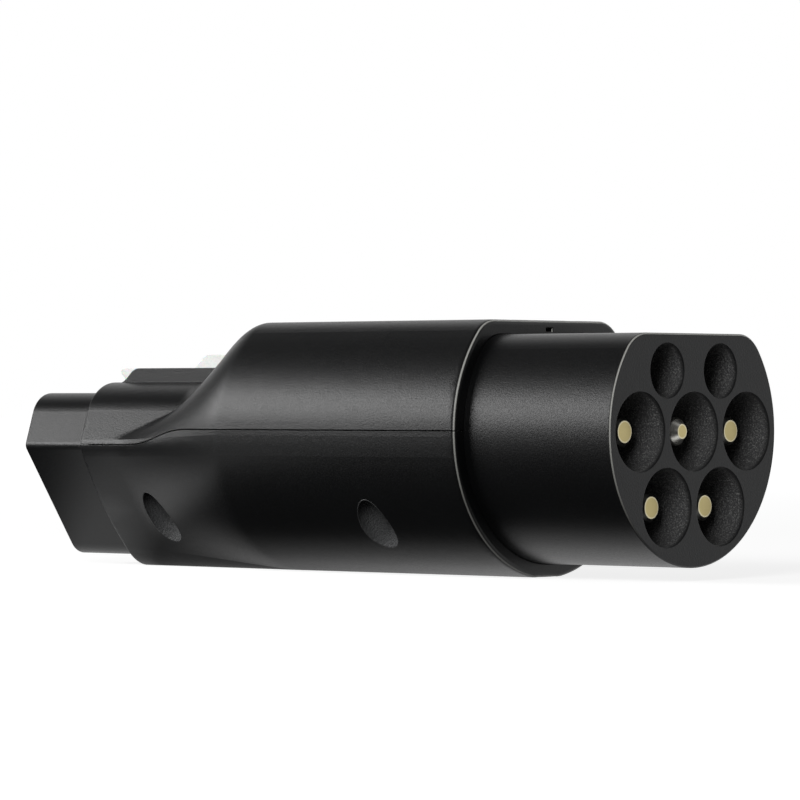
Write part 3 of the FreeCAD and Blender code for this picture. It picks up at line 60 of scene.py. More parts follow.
class Graph:
    """The node tree of a material or the world, with short ways to add and join its nodes."""

    def __init__(self, owner: bpy.types.Material | bpy.types.World) -> None:
        """Empty the tree.

        Args:
            owner: The material or the world that the nodes belong to.
        """
        self.owner = owner
        self.owner.use_nodes = True
        self.tree = self.owner.node_tree
        self.tree.nodes.clear()

    @classmethod
    def of_material(cls, name: str) -> "Graph":
        """Return the empty tree of a new material."""
        return cls(bpy.data.materials.new(name))

    def add(self, kind: str, **settings: object) -> bpy.types.Node:
        """Add a node.

        Args:
            kind: The node's type, without its ShaderNode prefix.
            **settings: Properties to set on the node.

        Returns:
            The new node.
        """
        node = self.tree.nodes.new(f"ShaderNode{kind}")
        for name, value in settings.items():
            setattr(node, name, value)
        return node

    def join(self, source: Socket, target: Socket) -> None:
        """Link an output to an input."""
        self.tree.links.new(source, target)

    def show(self, shader: Socket, output: str = "OutputMaterial") -> None:
        """Link the finished shader to an output node."""
        self.join(shader, self.add(output).inputs["Surface"])

    def coordinates(self, stretch: tuple[float, float, float] = (1.0, 1.0, 1.0)) -> Socket:
        """Read the object's own coordinates, stretched along its axes.

        Args:
            stretch: Factors along X, Y and Z.

        Returns:
            The vector output.
        """
        place = self.add("TexCoord")
        mapping = self.add("Mapping")
        mapping.inputs["Scale"].default_value = stretch
        self.join(place.outputs["Object"], mapping.inputs["Vector"])
        return mapping.outputs["Vector"]

    def axes(self, where: Socket) -> tuple[Socket, Socket, Socket]:
        """Split a vector.

        Args:
            where: The vector.

        Returns:
            Its X, Y and Z.
        """
        node = self.add("SeparateXYZ")
        self.join(where, node.inputs["Vector"])
        return tuple(node.outputs)

    def math(self, operation: str, first: Socket | float, second: Socket | float = 0.0) -> Socket:
        """Work out a sum, product or other function of two numbers.

        Args:
            operation: The function's name.
            first: The first number or the output that gives it.
            second: The second one.

        Returns:
            The result.
        """
        node = self.add("Math", operation=operation)
        for slot, value in zip(node.inputs, (first, second)):
            if isinstance(value, float):
                slot.default_value = value
            else:
                self.join(value, slot)
        return node.outputs["Value"]

    def distance(self, first: Socket, second: Socket, spot: tuple[float, float]) -> Socket:
        """Measure how far two coordinates are from a spot in their plane.

        Args:
            first: The first coordinate.
            second: The second one.
            spot: What the two are at the spot.

        Returns:
            The distance.
        """
        parts = [self.math("SUBTRACT", value, at) for value, at in zip((first, second), spot)]
        squares = [self.math("MULTIPLY", part, part) for part in parts]
        return self.math("SQRT", self.math("ADD", *squares))

    def map_range(self, value: Socket, before: Range, after: Range) -> Socket:
        """Map one range of numbers onto another, and hold what lies beyond at its ends.

        Args:
            value: What is mapped.
            before: The ends of the range that it has.
            after: What the two ends become.

        Returns:
            The mapped number.
        """
        node = self.add("MapRange")
        ends = zip(("From Min", "From Max", "To Min", "To Max"), (*before, *after))
        for name, number in ends:
            node.inputs[name].default_value = number
        self.join(value, node.inputs["Value"])
        return node.outputs["Result"]

    def ramp(self, value: Socket, low: float, high: float) -> Socket:
        """Return 0 up to one value and 1 from another, with an even slope between them."""
        return self.map_range(value, (low, high), (0.0, 1.0))

    def spread(self, noise: Socket, low: float, high: float) -> Socket:
        """Spread the middle of a noise, where most of it lies, over a new range."""
        return self.map_range(noise, NOISE_RANGE, (low, high))

    def vary(self, noise: Socket, middle: float, most: float) -> Socket:
        """Return a number that a noise moves to both sides of a middle one."""
        return self.spread(noise, middle - most, middle + most)

    def stripe(self, value: Socket, middle: float, half: float) -> Socket:
        """Return 1 close to one value and 0 further away from it.

        Args:
            value: What is measured.
            middle: The value in the middle.
            half: How far away it has faded.

        Returns:
            The share.
        """
        off = self.math("ABSOLUTE", self.math("SUBTRACT", value, middle))
        return self.math("SUBTRACT", 1.0, self.ramp(off, STRIPE_CORE * half, half))

    def noise(self, where: Socket, cell: float, detail: float = 2.0) -> Socket:
        """Add noise whose cells have a given size.

        Args:
            where: The coordinates to read it at.
            cell: The size of a cell in metres.
            detail: How many finer layers are added.

        Returns:
            The noise value.
        """
        node = self.add("TexNoise")
        node.inputs["Scale"].default_value = 1 / cell
        node.inputs["Detail"].default_value = detail
        self.join(where, node.inputs["Vector"])
        return node.outputs["Fac"]

    def blend(self, share: Socket, first: Socket | Color, second: Socket | Color) -> Socket:
        """Mix two colours by a share.

        Args:
            share: How much of the second colour shows.
            first: The colour at 0, or the output that gives it.
            second: The colour at 1, or the output that gives it.

        Returns:
            The mixed colour.
        """
        node = self.add("Mix", data_type="RGBA")
        colors = [socket for socket in node.inputs if socket.type == "RGBA"]
        for slot, color in zip(colors, (first, second)):
            if isinstance(color, tuple):
                slot.default_value = color
            else:
                self.join(color, slot)
        self.join(share, node.inputs[0])
        return next(socket for socket in node.outputs if socket.type == "RGBA")

    def bump(self, height: Socket, depth: float, under: Socket | None = None) -> Socket:
        """Raise the surface by a height.

        Args:
            height: The height, 0 to 1.
            depth: How deep 1 is, in metres.
            under: A normal to start from.

        Returns:
            The new normal.
        """
        node = self.add("Bump")
        node.inputs["Distance"].default_value = depth
        self.join(height, node.inputs["Height"])
        if under is not None:
            self.join(under, node.inputs["Normal"])
        return node.outputs["Normal"]

    def soften(self, radius: float) -> Socket:
        """Round the edges.

        Args:
            radius: The edge radius in metres.

        Returns:
            The normal.
        """
        node = self.add("Bevel", samples=BEVEL_SAMPLES)
        node.inputs["Radius"].default_value = radius
        return node.outputs["Normal"]

    def camera_rays(self) -> Socket:
        """Return 1 for rays from the camera and 0 for all others."""
        return self.add("LightPath").outputs["Is Camera Ray"]

    def seen(self) -> Socket:
        """Tell what is looked at from what only lights.

        Returns:
            1 for rays from the camera, in reflections and through clear pieces, and 0 for others.
        """
        ray = self.add("LightPath").outputs
        mirrored = self.math("MAXIMUM", ray["Is Glossy Ray"], ray["Is Transmission Ray"])
        return self.math("MAXIMUM", ray["Is Camera Ray"], mirrored)

    def surface(self, values: dict[str, float], links: dict[str, Socket]) -> bpy.types.Material:
        """Finish the material with a principled surface.

        Args:
            values: Inputs that are the same all over.
            links: Inputs that nodes drive.

        Returns:
            The material.
        """
        shader = self.add("BsdfPrincipled")
        for name, value in values.items():
            shader.inputs[name].default_value = value
        for name, socket in links.items():
            self.join(socket, shader.inputs[name])
        self.show(shader.outputs["BSDF"])
        return self.owner


@dataclass(frozen=True)
class MouldedPlastic:
    """Black plastic with the fine grain of a spark-eroded mould.

    Attributes:
        dark: The darker of its two blacks, which lie in clouds.
        pale: The paler one.
        core: The colour of the surface that core pins of the mould left, paler than the skin
            partly as painted light.
        wear_and_painted_highlight: The colour of the highlight painted along edges.
        rough_change: How far the grain moves the roughness.
        shine: The specular level.
        depth: How deep the grain is.
        edge: The radius that softens the edges.
        cloud_shares: How much of the paler black the clouds hold, least and most.
        core_dulling: How much rougher the cored surface is.
    """

    name: str
    dark: Color = (0.0024, 0.0025, 0.0027, 1.0)
    pale: Color = (0.0034, 0.0036, 0.0039, 1.0)
    # Paler than the skin: partly the cored finish, partly painted light that brightens the screw
    # recesses.
    core: Color = (0.05, 0.051, 0.052, 1.0)
    # A painted highlight, laid along edges.
    wear_and_painted_highlight: Color = (0.50, 0.50, 0.47, 1.0)
    roughness: float = 0.36
    rough_change: float = 0.05
    shine: float = 0.27
    grain: float = 0.34 * MM
    depth: float = 0.03 * MM
    edge: float = 0.18 * MM
    cloud: float = 14 * MM
    cloud_shares: Range = (0.25, 0.75)
    core_dulling: float = 0.14
    pit_size: float = 0.4 * MM
    pit_depth: float = 0.4 * MM

    def cored(self, graph: Graph, where: Socket) -> Socket | None:
        """Return 1 where a core pin of the mould left a duller surface, or nothing."""
        return None

    def pitted(self, graph: Graph, where: Socket) -> Socket | float:
        """Return how rough the cored surface is."""
        return 1.0

    def core_color(self, graph: Graph, where: Socket) -> Socket | Color:
        """Return the colour of the cored surface."""
        return self.core

    def painted_edge_highlight(self, graph: Graph, where: Socket) -> Socket | None:
        """Return 1 where a highlight is painted along an edge, or nothing."""
        return None

    def make(self) -> bpy.types.Material:
        """Make the material: grain, faint clouds, the cored surface and the highlights painted
        along edges.

        Returns:
            The material.
        """
        graph = Graph.of_material(self.name)
        where = graph.coordinates()
        grain = graph.noise(where, self.grain, detail=3.0)
        clouds = graph.spread(graph.noise(where, self.cloud), *self.cloud_shares)
        color = graph.blend(clouds, self.dark, self.pale)
        rough = graph.vary(grain, self.roughness, self.rough_change)
        normal = graph.bump(grain, self.depth, graph.soften(self.edge))
        core = self.cored(graph, where)
        if core is not None:
            color = graph.blend(core, color, self.core_color(graph, where))
            rough = graph.math("ADD", rough, graph.math("MULTIPLY", core, self.core_dulling))
            noise = graph.noise(where, self.pit_size)
            pits = graph.math("MULTIPLY", noise, self.pitted(graph, where))
            normal = graph.bump(graph.math("MULTIPLY", pits, core), self.pit_depth, normal)
        # A highlight painted along the edges that the subclasses pick.
        edge_highlight = self.painted_edge_highlight(graph, where)
        if edge_highlight is not None:
            color = graph.blend(edge_highlight, color, self.wear_and_painted_highlight)
        return graph.surface(
            {"Specular IOR Level": self.shine},
            {"Base Color": color, "Roughness": rough, "Normal": normal},
        )


@dataclass(frozen=True)
class HousingPlastic(MouldedPlastic):
    """The shells' plastic, with dull screw recesses, paler partly as painted light, and a
    highlight painted on the rim.

    Attributes:
        recesses: Each pair's place along the adapter, and how far aside of its middle it is.
        recess_blur: How far outside a recess's radius its mask starts and is full.
        recess_top: The height at which the mask ends.
        rim_half: How far the pale line reaches to both sides of rim_x.
        rim_fade: The heights between which the line turns pale.
        rim_least: How pale it is below them.
    """

    recesses: tuple[tuple[float, float], ...] = ((20.4 * MM, 23.0 * MM), (-48.7 * MM, 15.75 * MM))
    recess_radius: float = 4.2 * MM
    recess_blur: Range = (0.1 * MM, 0.02 * MM)
    recess_top: float = 22.0 * MM
    recess_fade: float = 0.5 * MM
    rim_x: float = 47.45 * MM
    rim_half: float = 0.18 * MM
    rim_fade: Range = (5 * MM, 40 * MM)
    rim_least: float = 0.3

    def cored(self, graph: Graph, where: Socket) -> Socket:
        """Find the four screw recesses, a near and a far one at each place.

        Args:
            graph: The material's nodes.
            where: The coordinates.

        Returns:
            1 inside them.
        """
        along, across, up = graph.axes(where)
        aside = graph.math("ABSOLUTE", across)
        spans = [graph.distance(along, aside, spot) for spot in self.recesses]
        outer, inner = (self.recess_radius + blur for blur in self.recess_blur)
        hole = graph.ramp(graph.math("MINIMUM", *spans), outer, inner)
        low = graph.ramp(up, self.recess_top, self.recess_top - self.recess_fade)
        return graph.math("MULTIPLY", hole, low)

    def painted_edge_highlight(self, graph: Graph, where: Socket) -> Socket:
        """Find the round of the rim, where a highlight is painted, palest at its top.

        Args:
            graph: The material's nodes.
            where: The coordinates.

        Returns:
            How pale it is.
        """
        along, _, up = graph.axes(where)
        fading = graph.math("MAXIMUM", graph.ramp(up, *self.rim_fade), self.rim_least)
        # A painted highlight: a pale line along the rim's round, palest at the top.
        return graph.math("MULTIPLY", graph.stripe(along, self.rim_x, self.rim_half), fading)


@dataclass(frozen=True)
class NosePlastic(MouldedPlastic):
    """The nose's plastic: satin outside, duller on its face and in its wells, whose paler grey is
    partly painted light and carries painted glints, with a highlight painted along its edge.

    Attributes:
        spark: The colour of the glints painted on the wells' grain.
        spark_range: The noise values between which a painted glint sets in.
        axis_z: The height of the axis of the outline's round.
        skin_radius: The radius of the round, just under the skin.
        skin_blur: How deep the skin's mask fades.
        flat_z: The height of the outline's flat top, just under the skin.
        corner: The centre of the corner between them, as its distance aside and its height.
        corner_slope: The slope of the line from the axis that the corner lies above.
        face_pits: How rough the face is, where the wells are 1.
        well_start: The depths behind the face between which the wells' look sets in.
        edge_start: The depths between which the pale edge ends.
        edge_fade: The heights between which the edge turns pale.
    """

    core: Color = (0.0098, 0.0102, 0.0107, 1.0)
    # The wells' grey is partly a duller finish and partly painted light; spark is a painted glint.
    well: Color = (0.06, 0.06, 0.061, 1.0)
    spark: Color = (0.22, 0.22, 0.215, 1.0)
    spark_size: float = 0.3 * MM
    spark_range: Range = (0.5, 0.72)
    axis_z: float = 30.5 * MM
    skin_radius: float = 27.4 * MM
    skin_blur: float = 0.05 * MM
    flat_z: float = 50.1 * MM
    corner: tuple[float, float] = (15.72 * MM, 42.45 * MM)
    corner_radius: float = 7.65 * MM
    corner_slope: float = 0.76
    face_x: float = 85.6 * MM
    face_pits: float = 0.12
    well_start: Range = (0.2 * MM, 1.5 * MM)
    edge_start: Range = (0.26 * MM, 0.16 * MM)
    edge_fade: Range = (8 * MM, 34 * MM)

    def skin(self, graph: Graph, where: Socket) -> Socket:
        """Find the outline's skin: its round, its flat top and the rounded corner on each side.

        Args:
            graph: The material's nodes.
            where: The coordinates.

        Returns:
            1 on the skin and 0 inside it.
        """
        _, across, up = graph.axes(where)
        aside = graph.math("ABSOLUTE", across)
        span = graph.distance(across, up, (0.0, self.axis_z))
        out = graph.ramp(span, self.skin_radius, self.skin_radius + self.skin_blur)
        top = graph.ramp(up, self.flat_z, self.flat_z + self.skin_blur)
        bend = graph.distance(aside, up, self.corner)
        turned = graph.ramp(bend, self.corner_radius, self.corner_radius + self.skin_blur)
        level = graph.math("ADD", graph.math("MULTIPLY", aside, self.corner_slope), self.axis_z)
        for value, least in ((aside, self.corner[0]), (up, level)):
            turned = graph.math("MULTIPLY", turned, graph.math("GREATER_THAN", value, least))
        return graph.math("MAXIMUM", graph.math("MAXIMUM", out, top), turned)

    def cored(self, graph: Graph, where: Socket) -> Socket:
        """Return 1 on the face and in the wells."""
        return graph.math("SUBTRACT", 1.0, self.skin(graph, where))

    def inside(self, graph: Graph, where: Socket) -> Socket:
        """Tell the wells from the face.

        Args:
            graph: The material's nodes.
            where: The coordinates.

        Returns:
            1 in the wells and 0 on the face.
        """
        along, _, _ = graph.axes(where)
        mouth, deep = (self.face_x - depth for depth in self.well_start)
        return graph.ramp(along, mouth, deep)

    def pitted(self, graph: Graph, where: Socket) -> Socket:
        """Return 1 in the wells and little on the face."""
        return graph.math("MAXIMUM", self.inside(graph, where), self.face_pits)

    def core_color(self, graph: Graph, where: Socket) -> Socket:
        """Colour the face, and the wells, paler partly as painted light, with painted glints on
        their grain.

        Args:
            graph: The material's nodes.
            where: The coordinates.

        Returns:
            The colour.
        """
        # Painted glints: bright specks on the wells' grain.
        glints = graph.ramp(graph.noise(where, self.spark_size), *self.spark_range)
        well = graph.blend(glints, self.well, self.spark)
        return graph.blend(self.inside(graph, where), self.core, well)

    def painted_edge_highlight(self, graph: Graph, where: Socket) -> Socket:
        """Find the edge round the face, where a highlight is painted, palest at its top.

        Args:
            graph: The material's nodes.
            where: The coordinates.

        Returns:
            How pale it is.
        """
        along, _, up = graph.axes(where)
        front = graph.ramp(along, *(self.face_x - depth for depth in self.edge_start))
        fading = graph.math("MULTIPLY", front, graph.ramp(up, *self.edge_fade))
        # A painted highlight along the face's edge, palest at the top.
        return graph.math("MULTIPLY", fading, self.skin(graph, where))


@dataclass(frozen=True)
class PinLook:
    """How a kind of pin looks: its bare end face and the colour of its shank, which is painted
    shade on the power pins.

    Attributes:
        disc: The radius of the end face.
        plating_and_painted_shade: The shank's colour: the plating's own on the earth and signal
            pins, and painted shade on the power pins.
        roughness: How dull the shank is.
    """

    disc: float
    plating_and_painted_shade: Color
    roughness: float


class PinKind(Enum):
    """The looks of the pins."""

    # The power pins' dark shank is painted shade: silver plating drawn dark, as the wells shade
    # it.
    POWER = PinLook(2.24 * MM, (0.085, 0.085, 0.08, 1.0), 0.36)
    EARTH = PinLook(1.5 * MM, (0.62, 0.61, 0.57, 1.0), 0.3)
    SIGNAL = PinLook(1.0 * MM, (0.62, 0.61, 0.57, 1.0), 0.28)


@dataclass(frozen=True)
class PlatedPin:
    """A turned brass pin whose end face shows the metal; its shank shows the plating, and painted
    shade on the power pins.

    Attributes:
        end: The middle of the end face.
        rim_start: How far inside the face's radius its paler rim starts and is full.
        face_start: How far behind the end the bare metal starts and is full.
        ring_stretch: How the turning marks are stretched into rings round the axis.
    """

    name: str
    end: Vector
    look: PinLook
    brass: Color = (0.45, 0.38, 0.185, 1.0)
    rim: Color = (0.60, 0.55, 0.38, 1.0)
    rim_start: Range = (0.3 * MM, 0.18 * MM)
    face_start: Range = (0.08 * MM, 0.03 * MM)
    ring_size: float = 0.1 * MM
    ring_stretch: tuple[float, float, float] = (1.0, 0.02, 0.02)
    rough_change: float = 0.04
    edge: float = 0.12 * MM

    def make(self) -> bpy.types.Material:
        """Make the material: the shank's colour, the end face with its paler rim, and turning
        marks.

        Returns:
            The material.
        """
        graph = Graph.of_material(self.name)
        along, across, up = graph.axes(graph.coordinates())
        span = graph.distance(across, up, (self.end.y, self.end.z))
        rim = graph.ramp(span, *(self.look.disc - inset for inset in self.rim_start))
        face = graph.ramp(along, *(self.end.x - depth for depth in self.face_start))
        metal = graph.blend(rim, self.brass, self.rim)
        rings = graph.noise(graph.coordinates(self.ring_stretch), self.ring_size, detail=1.0)
        return graph.surface(
            {"Metallic": 1.0},
            {
                # The shank colour is painted shade on the power pins.
                "Base Color": graph.blend(face, self.look.plating_and_painted_shade, metal),
                "Roughness": graph.vary(rings, self.look.roughness, self.rough_change),
                "Normal": graph.soften(self.edge),
            },
        )


@dataclass(frozen=True)
class TurnedMetal:
    """Bare metal with fine turning marks."""

    name: str
    color: Color
    wear_and_painted_highlight: Color
    roughness: float
    rough_change: float = 0.08
    mark: float = 0.12 * MM
    depth: float = 0.003 * MM
    cloud: float = 3 * MM
    cloud_shares: Range = (0.1, 0.9)
    edge: float = 0.1 * MM

    def make(self) -> bpy.types.Material:
        """Make the material: two shades in clouds, and turning marks.

        Returns:
            The material.
        """
        graph = Graph.of_material(self.name)
        where = graph.coordinates()
        marks = graph.noise(where, self.mark)
        clouds = graph.spread(graph.noise(where, self.cloud, detail=3.0), *self.cloud_shares)
        return graph.surface(
            {"Metallic": 1.0},
            {
                "Base Color": graph.blend(clouds, self.color, self.wear_and_painted_highlight),
                "Roughness": graph.vary(marks, self.roughness, self.rough_change),
                "Normal": graph.bump(marks, self.depth, graph.soften(self.edge)),
            },
        )


@dataclass(frozen=True)
class MilkyPlastic:
    """The latch's whitish plastic, which lets some light through.

    Attributes:
        roughness: Its least and most, as the grain moves it.
        milkiness: How much of the light goes in and comes out again.
        reach: How far it goes.
    """

    name: str
    color: Color = (0.80, 0.81, 0.79, 1.0)
    shade: Color = (0.70, 0.72, 0.71, 1.0)
    roughness: Range = (0.22, 0.34)
    refraction: float = 1.49
    milkiness: float = 0.35
    reach: float = 1.2 * MM
    cloud: float = 4 * MM
    grain: float = 0.3 * MM
    depth: float = 0.004 * MM
    edge: float = 0.25 * MM

    def make(self) -> bpy.types.Material:
        """Make the material: milky, with faint clouds and a fine grain.

        Returns:
            The material.
        """
        graph = Graph.of_material(self.name)
        where = graph.coordinates()
        clouds = graph.spread(graph.noise(where, self.cloud), 0.0, 1.0)
        grain = graph.noise(where, self.grain)
        return graph.surface(
            {
                "IOR": self.refraction,
                "Subsurface Weight": self.milkiness,
                "Subsurface Scale": self.reach,
            },
            {
                "Base Color": graph.blend(clouds, self.color, self.shade),
                "Roughness": graph.spread(grain, *self.roughness),
                "Normal": graph.bump(grain, self.depth, graph.soften(self.edge)),
            },
        )


@dataclass(frozen=True)
class SoftRubber:
    """Dull rubber or soft insulation, with a faint bloom and, where one is given, a line."""

    name: str
    color: Color = grey(0.02)
    bloom: Color = grey(0.05)
    bloom_shares: Range = (0.0, 0.8)
    bloom_size: float = 2.5 * MM
    roughness: float = 0.55
    rough_change: float = 0.07
    sheen: float = 0.15
    sheen_roughness: float = 0.5
    grain: float = 0.15 * MM
    depth: float = 0.004 * MM
    line: Color | None = None
    line_half: float = 0.55 * MM

    def make(self) -> bpy.types.Material:
        """Make the material; its line, if it has one, runs along the top and the foot.

        Returns:
            The material.
        """
        graph = Graph.of_material(self.name)
        where = graph.coordinates()
        grain = graph.noise(where, self.grain)
        blooms = graph.noise(where, self.bloom_size, detail=3.0)
        color = graph.blend(graph.spread(blooms, *self.bloom_shares), self.color, self.bloom)
        if self.line:
            _, across, _ = graph.axes(where)
            color = graph.blend(graph.stripe(across, 0.0, self.line_half), color, self.line)
        return graph.surface(
            {"Sheen Weight": self.sheen, "Sheen Roughness": self.sheen_roughness},
            {
                "Base Color": color,
                "Roughness": graph.vary(grain, self.roughness, self.rough_change),
                "Normal": graph.bump(grain, self.depth),
            },
        )


def dress(nodes: list[str], material: bpy.types.Material) -> None:
    """Give CAD nodes one material.

    Args:
        nodes: The nodes' names.
        material: The material that they all get.
    """
    for name in nodes:
        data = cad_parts[name].data
        data.materials.clear()
        data.materials.append(material)
    LOG.info("%s: %s", material.name, ", ".join(nodes))


@dataclass
class Housing:
    """The two moulded shells and the screws that hold them and the contact plates."""

    plastic: HousingPlastic = HousingPlastic("housing_plastic")
    metal: TurnedMetal = TurnedMetal(
        "zinc_plated_steel", (0.55, 0.56, 0.57, 1.0), (0.42, 0.43, 0.44, 1.0), 0.32
    )

    def build(self) -> None:
        """Dress the shells and every screw."""
        dress(["upper_housing", "lower_housing"], self.plastic.make())
        dress(["housing_screws", "retainer_screws", "socket_retainer_screws"], self.metal.make())


@dataclass
class Type2Nose:
    """The D-shaped nose with its pins, and the plates behind the pins and the sockets."""

    plastic: NosePlastic = NosePlastic("nose_plastic")
    plate: MouldedPlastic = MouldedPlastic("plate_plastic", grey(0.05), grey(0.07), roughness=0.5)

    def build(self) -> None:
        """Dress the insulator, the plates and the pins."""
        dress(["type2_nose"], self.plastic.make())
        dress(["pin_retainer", "socket_retainer"], self.plate.make())
        pins = {
            PinKind.POWER: ["live_1_pin", "neutral_pin", "live_2_pin", "live_3_pin"],
            PinKind.EARTH: ["earth_pin"],
            PinKind.SIGNAL: ["control_pilot_pin", "proximity_pin"],
        }
        for kind, names in pins.items():
            for name in names:
                self.dress_pin(name, kind.value)

    def dress_pin(self, name: str, look: PinLook) -> None:
        """Give a pin its shank colour, painted shade on the power pins, and the bare metal of its
        end face.

        Args:
            name: The pin's node.
            look: How its kind looks.
        """
        low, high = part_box(name)
        end = Vector((high.x, (low.y + high.y) / 2, (low.z + high.z) / 2))
        dress([name], PlatedPin(f"{name}_metal", end, look).make())


@dataclass
class Plug:
    """The plug's insulator and sockets, and the seals at both ends."""

    plastic: MouldedPlastic = MouldedPlastic("plug_plastic", depth=0.018 * MM)
    brass: TurnedMetal = TurnedMetal(
        "socket_brass", (0.62, 0.52, 0.30, 1.0), (0.50, 0.41, 0.22, 1.0), 0.3
    )
    rubber: SoftRubber = SoftRubber("seal_rubber")

    def build(self) -> None:
        """Dress the insulator, the sockets and the seals."""
        dress(["plug_nose"], self.plastic.make())
        sockets = ["live", "neutral", "earth", "pilot", "proximity"]
        dress([f"{name}_socket" for name in sockets], self.brass.make())
        dress(["nose_seal", "plug_seal"], self.rubber.make())


@dataclass
class Latch:
    """The rocker on the collar, the pin that it turns on and its spring."""

    plastic: MilkyPlastic = MilkyPlastic("latch_plastic")
    metal: TurnedMetal = TurnedMetal(
        "spring_steel", (0.50, 0.50, 0.49, 1.0), (0.40, 0.40, 0.39, 1.0), 0.26
    )

    def build(self) -> None:
        """Dress the lever, the pin and the spring."""
        dress(["latch_lever"], self.plastic.make())
        dress(["latch_pivot_pin", "latch_spring"], self.metal.make())


@dataclass
class Wiring:
    """The leads and the resistor's sleeve."""

    darker: float = 0.8
    roughness: float = 0.42
    yellow: Color = (0.62, 0.46, 0.03, 1.0)
    sleeve: SoftRubber = SoftRubber("resistor_sleeve")

    def insulation(self, color: LeadColor) -> SoftRubber:
        """Choose the finish of a lead.

        Args:
            color: The lead's colour.

        Returns:
            Its insulation, with a yellow line on the green of the earth lead.
        """
        shade = tuple(self.darker * part for part in color.value[:3]) + (1.0,)
        return SoftRubber(
            f"insulation_{color.name.lower()}",
            color.value,
            shade,
            roughness=self.roughness,
            line=self.yellow if color is LeadColor.GREEN else None,
        )

    def build(self) -> None:
        """Dress each lead in its own colour, and the sleeve."""
        groups = {
            LeadColor.BROWN: ["live_lead"],
            LeadColor.BLUE: ["neutral_lead"],
            LeadColor.GREEN: ["earth_lead"],
            LeadColor.GREY: ["pilot_lead", "proximity_lead"],
        }
        for color, nodes in groups.items():
            dress(nodes, self.insulation(color).make())
        dress(["coding_resistor"], self.sleeve.make())


@dataclass(frozen=True)
class Floor:
    """A pale floor: white in view, and dark in most of what the adapter's near side mirrors.

    Attributes:
        drop: How far it lies under the adapter's foot, so that the two share no plane.
        color: What the lamps light, and what holds the shadow.
        glow: How much it glows near the adapter.
        far_glow: How much more it glows far away.
        far: The distances between which it glows more.
        behind: Where, across the adapter, what is mirrored turns pale.
        eastwards: Where, along the adapter, it turns paler.
        west_share: How pale it is at the plug's end.
        east_share: How much paler it is at the nose's end.
        stripe_x: The middle of the pale stripe that the collar mirrors.
        stripe_half: How far the stripe reaches to both sides.
        least: How pale the darkest floor is.
    """

    size: float = 12.0
    drop: float = 0.02 * MM
    color: Color = grey(0.42)
    glow: float = 0.83
    far_glow: float = 0.2
    far: Range = (0.3, 1.6)
    behind: Range = (-0.0215, -0.0095)
    eastwards: Range = (-0.06, 0.05)
    west_share: float = 0.25
    east_share: float = 0.75
    stripe_x: float = -0.08
    stripe_half: float = 0.024
    least: float = 0.03

    def build(self) -> None:
        """Lay the floor just under the adapter's foot."""
        bpy.ops.mesh.primitive_plane_add(size=self.size, location=(0.0, 0.0, -self.drop))
        floor = bpy.context.active_object
        floor.name = "floor"
        floor.data.materials.append(self.make_paint())

    def make_paint(self) -> bpy.types.Material:
        """Paint the floor so that it is white in view and keeps the adapter's shadow.

        Returns:
            The material.
        """
        graph = Graph.of_material("floor_paint")
        east, north, _ = graph.axes(graph.coordinates())
        shown = graph.seen()
        kept = self.kept(graph, east, north)
        painted = graph.math("MAXIMUM", kept, graph.math("SUBTRACT", 1.0, shown))
        paint = graph.add("BsdfDiffuse")
        graph.join(graph.blend(painted, grey(0.0), self.color), paint.inputs["Color"])
        far = graph.ramp(graph.distance(east, north, (0.0, 0.0)), *self.far)
        strength = graph.math("ADD", graph.math("MULTIPLY", far, self.far_glow), self.glow)
        strength = graph.math("MULTIPLY", strength, graph.math("MULTIPLY", kept, shown))
        glow = graph.add("Emission")
        graph.join(strength, glow.inputs["Strength"])
        lit = graph.add("AddShader")
        graph.join(paint.outputs[0], lit.inputs[0])
        graph.join(glow.outputs[0], lit.inputs[1])
        graph.show(lit.outputs[0])
        return graph.owner

    def kept(self, graph: Graph, east: Socket, north: Socket) -> Socket:
        """Choose how pale the floor is: white to the camera, dark in most of what is mirrored.

        Args:
            graph: The floor's nodes.
            east: The coordinate along the adapter.
            north: The one across it.

        Returns:
            The share of the pale colour that is left.
        """
        behind = graph.ramp(north, *self.behind)
        share = graph.math("MULTIPLY", graph.ramp(east, *self.eastwards), self.east_share)
        fading = graph.math("ADD", share, self.west_share)
        beside = graph.stripe(east, self.stripe_x, self.stripe_half)
        pale = graph.math("MAXIMUM", graph.math("MULTIPLY", behind, fading), beside)
        seen = graph.math("MAXIMUM", pale, graph.camera_rays())
        return graph.math("MAXIMUM", seen, self.least)


@dataclass(frozen=True)
class Surroundings:
    """A white backdrop behind the adapter and a dim room in front of it.

    Attributes:
        turn: How far a direction points north where the room ends and the backdrop is full.
        fill: The strength of the light that comes from all sides.
    """

    name: str = "surroundings"
    room: Color = grey(0.08)
    backdrop: Color = grey(1.0)
    turn: Range = (-0.15, 0.4)
    fill: float = 0.12

    def build(self) -> None:
        """Put up what is seen and mirrored, with an even dim fill for all other light."""
        graph = Graph(bpy.data.worlds.new(self.name))
        _, north, _ = graph.axes(graph.add("TexCoord").outputs["Generated"])
        color = graph.blend(graph.ramp(north, *self.turn), self.room, self.backdrop)
        shown = graph.add("Background")
        graph.join(color, shown.inputs["Color"])
        dim = graph.add("Background")
        dim.inputs["Strength"].default_value = self.fill
        mix = graph.add("MixShader")
        graph.join(graph.seen(), mix.inputs[0])
        graph.join(dim.outputs[0], mix.inputs[1])
        graph.join(shown.outputs[0], mix.inputs[2])
        graph.show(mix.outputs[0], "OutputWorld")
        bpy.context.scene.world = graph.owner


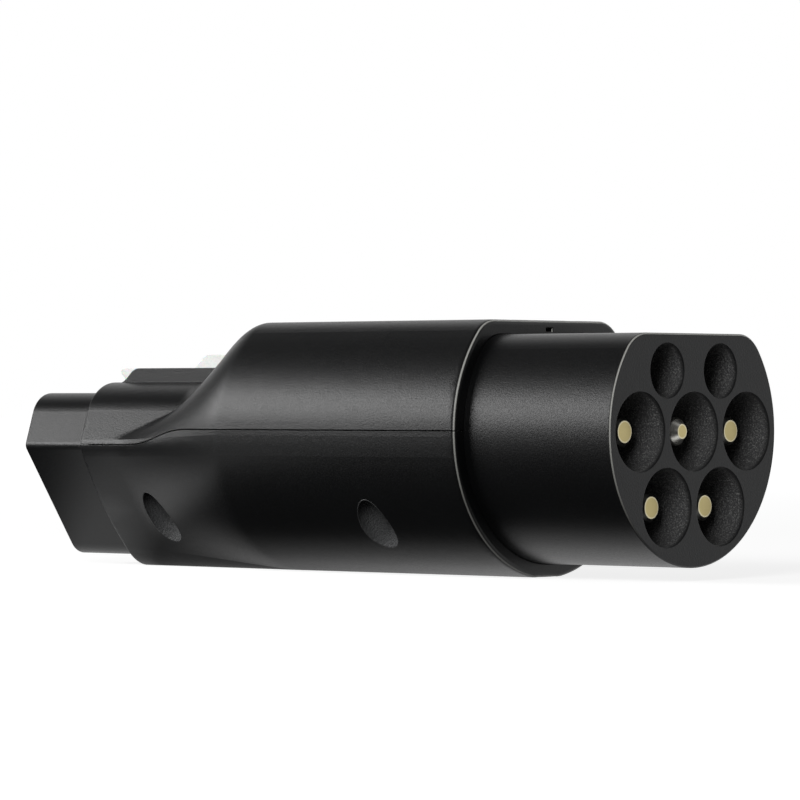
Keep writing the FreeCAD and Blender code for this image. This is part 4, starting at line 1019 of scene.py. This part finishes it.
@dataclass(frozen=True)
class SoftLamp:
    """A rectangular soft lamp that points at the adapter.

    Attributes:
        way: The way from the adapter to the lamp.
        distance: How far away it hangs, in metres.
        size: Its width and height in metres.
        power: Its power in watts.
    """

    name: str
    way: Vector
    distance: float
    size: tuple[float, float]
    power: float

    def hang(self, centre: Vector) -> None:
        """Hang the lamp.

        Args:
            centre: The point that it is aimed at.
        """
        data = bpy.data.lights.new(self.name, "AREA")
        data.shape = "RECTANGLE"
        data.size, data.size_y = self.size
        data.energy = self.power
        lamp = bpy.data.objects.new(self.name, data)
        lamp.location = centre + self.way.normalized() * self.distance
        lamp.rotation_euler = (-self.way).to_track_quat("-Z", "Y").to_euler()
        bpy.context.scene.collection.objects.link(lamp)


@dataclass
class Studio:
    """The camera, the lamps, the floor and the white surroundings."""

    camera_place: Vector = Vector((0.6624, -0.7593, 0.0369))
    camera_way: Vector = Vector((-0.6536, 0.7568, 0.0))
    lens: float = 210.8
    sensor: float = 36.0
    nearest: float = 0.01
    furthest: float = 100.0
    centre: Vector = Vector((0.0, 0.0, 0.03))
    floor: Floor = Floor()
    surroundings: Surroundings = Surroundings()
    lamps: tuple[SoftLamp, ...] = (
        SoftLamp("side_softbox", Vector((-0.71, -0.66, 0.2526)), 1.0, (0.7, 0.32), 7.9),
        SoftLamp("front_softbox", Vector((0.42, -0.85, 0.32)), 1.3, (0.4, 0.6), 8.0),
    )

    def build(self) -> None:
        """Set up everything round the adapter."""
        self.make_camera()
        self.floor.build()
        self.surroundings.build()
        for lamp in self.lamps:
            lamp.hang(self.centre)
        bpy.context.scene.view_settings.view_transform = "Standard"

    def make_camera(self) -> None:
        """Put the camera where the photograph was taken from."""
        data = bpy.data.cameras.new("camera")
        data.lens = self.lens
        data.sensor_width = self.sensor
        data.clip_start = self.nearest
        data.clip_end = self.furthest
        camera = bpy.data.objects.new("camera", data)
        camera.location = self.camera_place
        camera.rotation_euler = self.camera_way.to_track_quat("-Z", "Y").to_euler()
        bpy.context.scene.collection.objects.link(camera)
        bpy.context.scene.camera = camera


def main() -> None:
    """Build the studio and dress the adapter, group by group."""
    logging.basicConfig(level=logging.INFO)
    bpy.ops.object.select_all(action="DESELECT")
    for group in (Studio(), Housing(), Type2Nose(), Plug(), Latch(), Wiring()):
        group.build()
        LOG.info("%s is ready", type(group).__name__)


if __name__ == "__main__":
    main()
